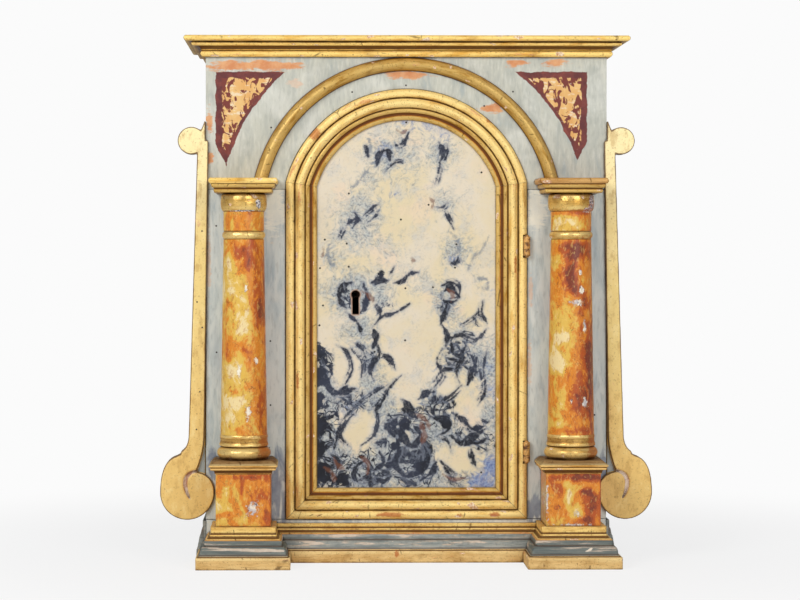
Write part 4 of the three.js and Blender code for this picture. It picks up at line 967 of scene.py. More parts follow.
def swept(node, moulding, length, place, finishes, slot, seed, back=0.0, member_finish=None):
    """Carries a moulding along a run. place(out, rise, share) gives X, Y and Z of its points."""
    rows = int(length / RUN_STEP) + 2
    share = np.linspace(0.0, 1.0, rows)
    shift, chip = worn(moulding, share * length, seed)
    out = np.pad(moulding.out + shift, ((0, 0), (1, 1)), constant_values=back)
    rise = np.pad(moulding.rise, 1, mode="edge")[None, :]
    points = np.stack(np.broadcast_arrays(*place(out, rise, share[:, None])), axis=-1)
    chosen = np.pad(moulding.finishes(member_finish), 1, mode="edge")
    return piece(
        node, points, tube_faces(*out.shape), finishes, slot,
        np.concatenate((np.tile(chosen, rows - 1), [0, 0])),
        flow=flow_of(share * length + seed, np.pad(moulding.across, 1, mode="edge")),
        hollow=np.tile(np.pad(moulding.hollow, 1), rows),
        chip=np.pad(chip, ((0, 0), (1, 1))).ravel(),
    )


def girdle(node, moulding, along, points, chip, closed, finishes, slot, member_finish):
    """A moulding round a column's axis, with flat ends: all the way round, or open at the facade."""
    rows, columns = chip.shape
    count = rows * columns
    ends = [tuple(range(0, count, columns)), tuple(range(columns - 1, count, columns))]
    if not closed:
        ends.append((*range(columns), *range(count - 1, count - columns - 1, -1)))
    chosen = moulding.finishes(member_finish)
    sides = np.tile(chosen[1:], rows if closed else rows - 1)
    return piece(
        node, points, grid_faces(rows, columns, closed, False) + ends, finishes, slot,
        np.concatenate((sides, chosen[[0, -1, 0]][:len(ends)])),
        flow=flow_of(along, moulding.across),
        hollow=np.tile(moulding.hollow, rows),
        chip=chip.ravel(),
    )


def turned(node, moulding, foot, finishes, slot, seed, member_finish=None):
    """A turned piece on the axis of a column."""
    angle = np.linspace(0.0, 2 * math.pi, TURNED_SIDES, endpoint=False)
    along = angle * moulding.out.max()
    shift, chip = worn(moulding, along, seed)
    seam = smooth_step(0.0, SEAM_EASE, np.abs((angle + math.pi) % (2 * math.pi) - math.pi))[:, None]
    radius = moulding.out + shift * seam
    x = middle(node).x + radius * np.cos(angle)[:, None]
    y = COLUMN_Y + radius * np.sin(angle)[:, None]
    points = np.stack(np.broadcast_arrays(x, y, foot + moulding.rise), axis=-1)
    return girdle(node, moulding, along + seed, points, chip * seam, True, finishes, slot, member_finish)


def square(node, members, finishes, slot, seed, member_finish=None, corner=0.0014):
    """A moulding carried round three sides of a square foot or cap that backs on the facade."""
    moulding = Moulding(members, DIE_HALF)
    back = FACADE_Y - JOINT - COLUMN_Y
    steps = int(2 * DIE_HALF / RUN_STEP) + 1
    rows = 3 * steps + 2 * CORNER_STEPS
    along = np.linspace(0.0, 6 * DIE_HALF, rows)
    shift, chip = worn(moulding, along, seed)
    reach = moulding.out + shift
    flat = reach - corner
    x = np.empty_like(reach)
    y = np.empty_like(reach)
    bounds = np.cumsum((steps, CORNER_STEPS, steps, CORNER_STEPS))
    left, left_turn, front, right_turn, right = np.split(np.arange(rows), bounds)
    t = np.linspace(0.0, 1.0, steps)[:, None]
    x[left] = -reach[left]
    y[left] = back - t * (flat[left] + back)
    x[front] = (2 * t - 1) * flat[front]
    y[front] = -reach[front]
    x[right] = reach[right]
    y[right] = -flat[right] + t * (back + flat[right])
    angle = np.linspace(0.0, math.pi / 2, CORNER_STEPS)[:, None]
    for turn, sign, angles in ((left_turn, -1, angle), (right_turn, 1, angle[::-1])):
        x[turn] = sign * (flat[turn] + corner * np.cos(angles))
        y[turn] = -(flat[turn] + corner * np.sin(angles))
    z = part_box(node)[0].z + moulding.rise
    points = np.stack(np.broadcast_arrays(x + middle(node).x, y + COLUMN_Y, z), axis=-1)
    return girdle(node, moulding, along + seed, points, chip, False, finishes, slot, member_finish)


def plank(node, finish, slot, seed, round_over=0.0012):
    """A sawn board with rounded, uneven edges. Its grain runs along its longest side."""
    low, high = (np.array(corner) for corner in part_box(node))
    size = high - low
    centre = (low + high) / 2
    axis = int(np.argmax(size))
    others = [i for i in range(3) if i != axis]
    half = size[others] / 2
    quarter = np.linspace(0.0, math.pi / 2, CORNER_STEPS)
    loop = []
    for corner, signs in enumerate(((1, 1), (-1, 1), (-1, -1), (1, -1))):
        for angle in quarter + corner * math.pi / 2:
            outward = np.array((math.cos(angle), math.sin(angle)))
            loop.append(np.array(signs) * (half - round_over) + round_over * outward)
    ring = []
    for start, end in zip(loop, loop[1:] + loop[:1]):
        parts = max(1, int(np.linalg.norm(end - start) / PLANK_STEP))
        ring.extend(start + (end - start) * k / parts for k in range(parts))
    ring = np.array(ring)
    inset = round_over * (1 - np.sin(quarter))
    depth = round_over * (1 - np.cos(quarter))
    body = np.linspace(round_over, size[axis] - round_over, int(size[axis] / PLANK_STEP) + 2)
    along = np.concatenate((depth, body[1:-1], size[axis] - depth[::-1]))
    shrink = np.concatenate((inset, np.zeros(len(body) - 2), inset[::-1]))
    points = np.empty((len(along), len(ring), 3))
    points[..., axis] = low[axis] + along[:, None]
    for i, other in enumerate(others):
        points[..., other] = centre[other] + ring[:, i] * (1 - shrink / half[i])[:, None]
    points = points.reshape(-1, 3)
    uneven = np.abs(noise_at(points * PLANK_RATE, seed)) * PLANK_WEAR
    for other in others:
        points[:, other] -= np.sign(points[:, other] - centre[other]) * uneven
    flow = points[:, [axis, *others]] + (seed, 0.0, 0.0)
    return piece(node, points, tube_faces(len(along), len(ring)), [finish], slot, flow=flow)


def bevelled(node, width, finish):
    """The part's own solid with its facets merged and its edges eased."""
    mesh = NODES[node].data.copy()
    mesh.name = f"{node}_detail"
    mesh.materials.clear()
    mesh.materials.append(finish)
    with editing(mesh) as shape:
        bmesh.ops.remove_doubles(shape, verts=shape.verts, dist=SAME_POINT)
        bmesh.ops.dissolve_limit(shape, angle_limit=FACET, verts=shape.verts, edges=shape.edges)
        edges = [edge for edge in shape.edges if edge.is_manifold and edge.calc_face_angle(0.0) > EASED]
        bmesh.ops.bevel(
            shape, geom=edges, offset=width, offset_type="OFFSET", segments=2, profile=0.5,
            affect="EDGES", clamp_overlap=True,
        )
    mesh.polygons.foreach_set("material_index", np.zeros(len(mesh.polygons), dtype=np.int32))
    tidy(mesh, IRON_SHARP)
    return adopt(mesh, node)


def tool(first, second):
    """A closed solid between two rings of points, to cut or join with."""
    mesh = bpy.data.meshes.new("tool")
    mesh.from_pydata(first + second, [], tube_faces(2, len(first)))
    with editing(mesh) as shape:
        bmesh.ops.recalc_face_normals(shape, faces=shape.faces)
    return link(bpy.data.objects.new("tool", mesh))


def prism(outline, front, back):
    """A tool with an outline drawn from the front, between two depths."""
    return tool([(x, front, z) for x, z in outline], [(x, back, z) for x, z in outline])


def round_tool(x, y, low, high, radius):
    """An upright round tool."""
    ring = arc((x, y), radius, 0.0, 2 * math.pi, TOOL_SIDES + 1)[:-1]
    return tool([(a, b, low) for a, b in ring], [(a, b, high) for a, b in ring])


def boolean(thing, operation, other):
    change = thing.modifiers.new("change", "BOOLEAN")
    change.operation = operation
    change.solver = "EXACT"
    change.object = other


def changed_mesh(thing):
    """The mesh of a thing with all its changes."""
    bpy.context.view_layer.update()
    return bpy.data.meshes.new_from_object(thing.evaluated_get(bpy.context.evaluated_depsgraph_get()))


def carve(thing, *tools):
    """Cuts tools out of a piece and throws them away."""
    for each in tools:
        boolean(thing, "DIFFERENCE", each)
    mesh = changed_mesh(thing)
    thing.modifiers.clear()
    old = thing.data
    thing.data = mesh
    mesh.name = old.name
    bpy.data.meshes.remove(old)
    for each in tools:
        bpy.data.objects.remove(each)


def soft_ellipses(across, height, spots):
    """Adds up soft spots given as x, z, half width, half height and strength."""
    total = np.zeros(len(across))
    for x, z, half_width, half_height, strength in spots:
        total += strength * np.exp(-((across - x) / half_width) ** 2 - ((height - z) / half_height) ** 2)
    return total


def distance_to_path(points, path):
    """Distance of each point to a run of straight stretches, and how far along the run it lies."""
    best = np.full(len(points), np.inf)
    where = np.zeros(len(points))
    for i, (start, end) in enumerate(zip(path[:-1], path[1:])):
        leg = end - start
        share = np.clip(((points - start) @ leg) / max(leg @ leg, 1e-12), 0.0, 1.0)
        gap = np.linalg.norm(points - start - share[:, None] * leg, axis=1)
        nearer = gap < best
        best[nearer] = gap[nearer]
        where[nearer] = (i + share[nearer]) / (len(path) - 1)
    return best, where


def distance_to_outline(places, outline):
    return distance_to_path(places, np.array(outline + outline[:1]))[0]


# Where the gold is rubbed down to red on the frame and the base: x, z, half width, half height, strength
RED_SPOTS = (
    (-0.018, 0.0515, 0.020, 0.0035, 1.1), (0.098, 0.0515, 0.008, 0.0035, 1.1),
    (-0.102, 0.4745, 0.009, 0.010, 1.0), (0.095, 0.491, 0.010, 0.006, 1.0),
    (-0.121, 0.200, 0.003, 0.016, 0.8), (0.121, 0.330, 0.003, 0.020, 0.8),
    (0.060, 0.0515, 0.006, 0.003, 0.8), (-0.030, 0.526, 0.012, 0.003, 0.9),
)
KNOT = ((-0.011, 0.010, 0.0022, 0.0050, 1.6),)


def reddened(thing, spots):
    places = places_of(thing)
    note(thing.data, tint=soft_ellipses(places[:, 0], places[:, 2], spots))


# Case: boards and mouldings

PLANKS = (
    ("left_side_board", FACADE_PAINT, "painted_wood", 1.3),
    ("right_side_board", FACADE_PAINT, "painted_wood", 2.9),
    ("floor_board", OLD_WOOD, "bare_wood", 3.1),
    ("top_board", OLD_WOOD, "bare_wood", 4.7),
    ("sill_rail", FACADE_PAINT, "bare_wood", 5.3),
)
BACK_ROUND_OVER = 0.0016
STILE_EASE = 0.0006

for board in PLANKS:
    plank(*board)
for seed, name in enumerate(("left", "middle", "right")):
    plank(f"back_plank_{name}", OLD_WOOD, "bare_wood", 6.1 + 1.7 * seed, BACK_ROUND_OVER)
for side, _ in SIDES:
    bevelled(f"{side}_stile", STILE_EASE, FACADE_PAINT)


def spandrel():
    """The board over the arch, cut out round the door's opening."""
    low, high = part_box("spandrel_board")
    start = math.acos(OPENING_HALF / OPENING_RADIUS)
    outline = [(OPENING_HALF, low.z), (high.x, low.z), (high.x, high.z), (low.x, high.z), (low.x, low.z)]
    outline.append((-OPENING_HALF, low.z))
    outline += arc((0.0, ARCH_CENTRE), OPENING_RADIUS, math.pi - start, start, ARCH_STEPS)
    points = [(x, y, z) for y in (low.y, high.y) for x, z in outline]
    piece("spandrel_board", points, tube_faces(2, len(outline)), [SPANDREL_PAINT], "painted_wood")


spandrel()

CORNICE_FACE = Moulding(CORNICE)
SKIRT_FACE = Moulding(SKIRT)
CASE_DEPTH = CASE_BACK - FACADE_Y
swept(
    "cornice_front", CORNICE_FACE, 2 * CASE_HALF,
    lambda out, rise, share: (
        (2 * share - 1) * (CASE_HALF + out), FACADE_Y - JOINT - out, CORNICE_FOOT + rise
    ),
    [GOLD["cornice_gold"]], "gilded_wood", 11.0,
)
for side, sign in SIDES:
    swept(
        f"cornice_{side}", CORNICE_FACE, CASE_DEPTH,
        lambda out, rise, share: (
            sign * (CASE_HALF + JOINT + out), FACADE_Y - out + share * (CASE_DEPTH + out), CORNICE_FOOT + rise
        ),
        [GOLD["olive_gold"]], "gilded_wood", 13.0 + sign,
    )
    swept(
        f"base_{side}", SKIRT_FACE, CASE_DEPTH,
        lambda out, rise, share: (sign * (CASE_HALF + JOINT + out), FACADE_Y + share * CASE_DEPTH, rise),
        [SLATE], "painted_wood", 17.0 + sign,
    )

# The base's members: gold plinth and top band, blue between
BASE_FINISHES = [GOLD["plinth_gold"], SLATE, GOLD["red_gold"], GOLD["gold_leaf"]]
FOOT_FINISHES = [GOLD["plinth_gold"], FOOT_SLATE, GOLD["red_gold"], GOLD["gold_leaf"]]
BASE_MEMBER_FINISH = (0, 0, 1, 1, 1, 1, 2, 3, 3)
BASE_REACH = COLUMN_X - DIE_HALF - JOINT
base_front = swept(
    "base_front", Moulding(FRONT_BASE), 2 * BASE_REACH,
    lambda out, rise, share: ((2 * share - 1) * (BASE_REACH - out), FACADE_Y - JOINT - out, rise),
    BASE_FINISHES, "gilded_wood", 19.0, member_finish=BASE_MEMBER_FINISH,
)
reddened(base_front, KNOT)

SHADED_EDGE_POINTS = 3  # along each edge of the archivolt, where it meets the board, darkened like a groove as painted shade


def archivolt():
    """The bead over the arch, from one abacus to the other."""
    outer = DOOR_RADIUS + ARCHIVOLT_MARGIN + ARCHIVOLT[0][2]
    land = ABACUS_TOP + JOINT - ARCH_CENTRE

    def place(out, inward, share):
        radius = outer - inward
        foot = np.arcsin(land / radius)
        angle = foot + share * (math.pi - 2 * foot)
        return -radius * np.cos(angle), FACADE_Y - JOINT - out, ARCH_CENTRE + radius * np.sin(angle)

    bead = Moulding(ARCHIVOLT)
    # painted shade along both edges, where the bead meets the board
    bead.hollow[:SHADED_EDGE_POINTS] = 1.0
    bead.hollow[-SHADED_EDGE_POINTS:] = 1.0
    swept("archivolt_bead", bead, math.pi * outer, place, [GOLD["olive_gold"]], "gilded_wood", 23.0)


archivolt()


# Columns

PLINTH_CORNER = 0.0020
CAP_FINISHES = [GOLD["worn_gold"], GOLD["dusty_gold"]]
CAP_MEMBER_FINISH = (0, 0, 0, 0, 0, 1)
ABACUS_TOP_FINISH = {"left": GOLD["cornice_gold"], "right": GOLD["copper_gold"]}
ABACUS_MEMBER_FINISH = (0, 0, 0, 1, 1)
CAPITAL_FINISHES = [GOLD["burnished_gold"], MARBLE, GOLD["base_gold"]]
CAPITAL_MEMBER_FINISH = (2, 1, 1, 0, 0)
SHAFT_PARTS = 24


def marbled(thing, side, sign):
    """Notes where a column's paint is cream or red-brown, with painted shade reddening its right side, and
    where it has flaked.
    """
    places = places_of(thing)
    across = places[:, 0] - sign * COLUMN_X
    tint = soft_ellipses(across, places[:, 2], MARBLING[side]) + MARBLE_LEAN[side] + MARBLE_RIGHT_SHADE * across
    note(thing.data, tint=tint, flake=soft_ellipses(across, places[:, 2], FLAKES[side]))


def shaft_face(height):
    """A shaft's side: it narrows evenly, in short parts, and has no grooves."""
    shrink = (SHAFT_HEAD - SHAFT_FOOT) / SHAFT_PARTS
    parts = [("slope", SHAFT_FOOT + shrink * (i + 1), height / SHAFT_PARTS) for i in range(SHAFT_PARTS)]
    face = Moulding([("flat", SHAFT_FOOT, 0.0), *parts])
    face.hollow[:] = 0.0
    return face


def pedestal(side, sign, seed):
    """The column's square pieces: foot, die and cap below, and the abacus above."""
    die_low, die_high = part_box(f"{side}_pedestal_die")
    die = (("flat", 0.0, die_high.z - die_low.z),)
    foot, gilded = f"{side}_pedestal_base", "gilded_wood"
    square(foot, BASE, FOOT_FINISHES, gilded, seed, BASE_MEMBER_FINISH, PLINTH_CORNER)
    marbled(square(f"{side}_pedestal_die", die, [MARBLE], "orange_marbled_wood", seed + 1), side, sign)
    square(f"{side}_pedestal_cap", CAP, CAP_FINISHES, gilded, seed + 2, CAP_MEMBER_FINISH)
    abacus_finishes = [GOLD["olive_gold"], ABACUS_TOP_FINISH[side]]
    square(f"{side}_abacus", ABACUS, abacus_finishes, gilded, seed + 3, ABACUS_MEMBER_FINISH)


def column(side, sign, seed):
    """The column's turned pieces: base, capital and shaft."""
    base_foot, base_top = (corner.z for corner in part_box(f"{side}_column_base"))
    capital_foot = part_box(f"{side}_column_capital")[0].z
    base = turned(
        f"{side}_column_base", Moulding(COLUMN_BASE), base_foot, [GOLD["base_gold"]], "gilded_wood", seed + 5
    )
    # painted shade in bole red: the base reddens and darkens towards its right, away from the key lamp
    across = places_of(base)[:, 0] - sign * COLUMN_X
    note(base.data, tint=smooth_step(0.2, 1.0, across / SHAFT_FOOT))
    capital = turned(
        f"{side}_column_capital", Moulding(CAPITAL), capital_foot, CAPITAL_FINISHES, "gilded_wood", seed + 6,
        CAPITAL_MEMBER_FINISH,
    )
    marbled(capital, side, sign)
    face = shaft_face(capital_foot - base_top)
    shaft = turned(f"{side}_column_shaft", face, base_top, [MARBLE], "orange_marbled_wood", seed + 7)
    marbled(shaft, side, sign)


for side, sign in SIDES:
    pedestal(side, sign, 29.0 + 4 * sign)
    column(side, sign, 29.0 + 4 * sign)


# Side scrolls

CURL_RADIUS = 0.0152
CURL_Z = ABACUS_TOP + 0.0428
CURL_OUT = 0.0158
STRIP_HEAD = 0.0095
STRIP_FOOT = 0.0190
VOLUTE_RADIUS = 0.030
VOLUTE_OUT = 0.0208
VOLUTE_Z = 0.076
STRIP_FOOT_Z = VOLUTE_Z + 0.066
EYE_RADIUS = 0.0204
EYE_OUT = 0.0112
EYE_Z = VOLUTE_Z + 0.0024
SHOULDER = (0.033, VOLUTE_Z + 0.0405)
SHOULDER_STEP = 0.005
STRIP_LAP = 0.0030  # in front of the case's edge at the strip's head
STRIP_GAP = 0.0016  # from the case's edge at its foot
HORN_HEIGHT = 0.0245  # of the horn that rises from the curl to the case
HORN_TURN = 0.75
HORN_PULL = 0.0035
SCROLL_VOXEL = 0.0011
WEDGE_RISE = 0.002  # of the ground between strip and eye, above the eye
NOTCH_REACH = 0.02
NOTCH_HEAD = 0.6
NOTCH_BACK = SCROLL_BACK + 0.01
GROOVE_HALF = 0.0029
GROOVE_DEPTH = 0.0030
GROOVE_END = 0.45  # how wide the groove stays at its ends, as a share
RAISED = (FACADE_Y - 0.001, FACADE_Y - 0.003)  # from the ground up to the raised face
SCROLL_WEAR = ((22, 0.0003, 41.0), (120, 0.00008, 47.0))  # ripples in a metre, depth and seed
DARK_MARGIN = (0.0019, 0.0004)  # where the gold darkens towards the outline


def scroll_outline():
    """The raised strip with its curl and volute, outwards from the case's side."""
    wedge = (EYE_OUT, EYE_Z + EYE_RADIUS)
    outline = [(-STRIP_LAP, CURL_Z), (STRIP_GAP, STRIP_FOOT_Z)]
    outline += curve(outline[-1], (STRIP_GAP, (STRIP_FOOT_Z + wedge[1]) / 2), wedge)
    outline += arc((EYE_OUT, EYE_Z), EYE_RADIUS, math.pi / 2, math.pi)[1:]
    outline += arc((VOLUTE_OUT, VOLUTE_Z), VOLUTE_RADIUS, math.pi, 2 * math.pi)
    outline += curve(outline[-1], (VOLUTE_OUT + VOLUTE_RADIUS, SHOULDER[1] - SHOULDER_STEP), SHOULDER)
    step_in = SHOULDER[0] - SHOULDER_STEP
    outline += [(step_in, SHOULDER[1] + SHOULDER_STEP / 2), (step_in, SHOULDER[1] + SHOULDER_STEP)]
    outline += curve(outline[-1], (STRIP_FOOT, SHOULDER[1] + 2 * SHOULDER_STEP), (STRIP_FOOT, STRIP_FOOT_Z))
    meet = math.acos((CURL_OUT - STRIP_HEAD) / CURL_RADIUS)
    outline += arc((CURL_OUT, CURL_Z), CURL_RADIUS, math.pi + meet, 2.5 * math.pi + HORN_TURN)
    outline += curve(outline[-1], (HORN_PULL, CURL_Z + CURL_RADIUS), (JOINT, CURL_Z + HORN_HEIGHT))
    outline.append((JOINT, CURL_Z))
    return outline


# The carved groove from the eye's middle: start, pull, crest, pull and end
GROOVE = ((-0.0030, 0.0222), (0.0112, 0.0205), (0.0118, 0.0094), (0.0118, 0.0000), (0.0070, -0.0080))


def spiral_path():
    """The carved groove: from the wedge over the eye and round into the volute."""
    start, over, crest, under, end = (np.array((EYE_OUT + u, EYE_Z + z)) for u, z in GROOVE)
    return np.concatenate((bezier(start, over, crest), bezier(crest, under, end)[1:]))


def scroll_blank():
    """The sawn outline with the ground in its wedge, cut back to fit the case, as a fine mesh."""
    wedge = [
        (JOINT, CURL_Z), (JOINT, EYE_Z), (EYE_OUT, EYE_Z), (EYE_OUT, EYE_Z + EYE_RADIUS + WEDGE_RISE),
        (STRIP_HEAD / 2, STRIP_FOOT_Z), (STRIP_HEAD / 2, CURL_Z),
    ]
    relief = prism(scroll_outline(), SCROLL_FRONT, SCROLL_BACK)
    ground = prism(wedge, FACADE_Y, SCROLL_BACK)
    notch = prism(rectangle(-NOTCH_REACH, 0.0, JOINT, NOTCH_HEAD), FACADE_Y - JOINT, NOTCH_BACK)
    boolean(relief, "UNION", ground)
    boolean(relief, "DIFFERENCE", notch)
    fine = relief.modifiers.new("fine", "REMESH")
    fine.mode = "VOXEL"
    fine.voxel_size = SCROLL_VOXEL
    mesh = changed_mesh(relief)
    for each in (relief, ground, notch):
        bpy.data.objects.remove(each)
    return mesh


def scroll(side, sign):
    """A scroll with its carved groove, worn face and dark edges."""
    mesh = scroll_blank()
    with editing(mesh) as shape:
        for _ in range(2):
            bmesh.ops.smooth_vert(
                shape, verts=shape.verts, factor=0.5, use_axis_x=True, use_axis_y=True, use_axis_z=True
            )
        shape.normal_update()
        places = np.array([vertex.co for vertex in shape.verts])
        depth = -np.array([vertex.normal.y for vertex in shape.verts])
    facing = smooth_step(0.2, 0.8, depth)
    raised = smooth_step(*RAISED, places[:, 1])
    gap, along = distance_to_path(places[:, [0, 2]], spiral_path())
    half = GROOVE_HALF * (GROOVE_END + (1 - GROOVE_END) * np.sin(along * math.pi))
    groove = np.clip(1.0 - (gap / half) ** 2, 0.0, 1.0) * facing * raised
    uneven = sum(noise_at(places * rate, seed + sign) * wear for rate, wear, seed in SCROLL_WEAR)
    places[:, 1] += groove * GROOVE_DEPTH + uneven * facing
    margin = distance_to_outline(places[:, [0, 2]], scroll_outline())
    edge = np.maximum(smooth_step(0.75, 0.1, np.abs(depth)), smooth_step(*DARK_MARGIN, margin) * raised)
    ground = (1.0 - raised) * smooth_step(0.5, 0.9, depth)
    places[:, 0] = sign * (CASE_HALF + places[:, 0])
    faces = [tuple(face.vertices) for face in mesh.polygons]
    bpy.data.meshes.remove(mesh)
    piece(
        f"{side}_scroll", places, faces, [SCROLL], "gilded_wood", sharp=SCROLL_SHARP,
        hollow=groove, edge=edge, ground=ground,
    )


for side, sign in SIDES:
    scroll(side, sign)


# Door

MORTISE_HALF = 0.0113  # half the height of a hinge's mortise
MORTISE_DEPTH = 0.0015
MORTISE_PAST = 0.002  # past the door's edge
MORTISE_FRONT = FACADE_Y - 0.02
MORTISE_BACK = FACADE_Y + 0.0153
KNUCKLE_ROOM = 0.0045
KNUCKLE_ROOM_HALF = 0.0128
KEYHOLE_PAST = 0.01  # past the panel's faces
HINGE_HEIGHTS = [middle(f"{name}_hinge_pin").z for name in ("upper", "lower")]


def keyhole_outline():
    meet = math.acos(KEY_SLOT_HALF / KEY_RADIUS)
    foot = KEY_Z - KEY_DROP
    slot = [(KEY_X - KEY_SLOT_HALF, foot), (KEY_X + KEY_SLOT_HALF, foot)]
    return slot + arc((KEY_X, KEY_Z), KEY_RADIUS, -meet, math.pi + meet)


def hinge_tools():
    """What the hinges' leaves need free in the door's edge."""
    inner, outer = DOOR_HALF - MORTISE_DEPTH, DOOR_HALF + MORTISE_PAST
    outlines = [rectangle(inner, z - MORTISE_HALF, outer, z + MORTISE_HALF) for z in HINGE_HEIGHTS]
    return [prism(outline, MORTISE_FRONT, MORTISE_BACK) for outline in outlines]


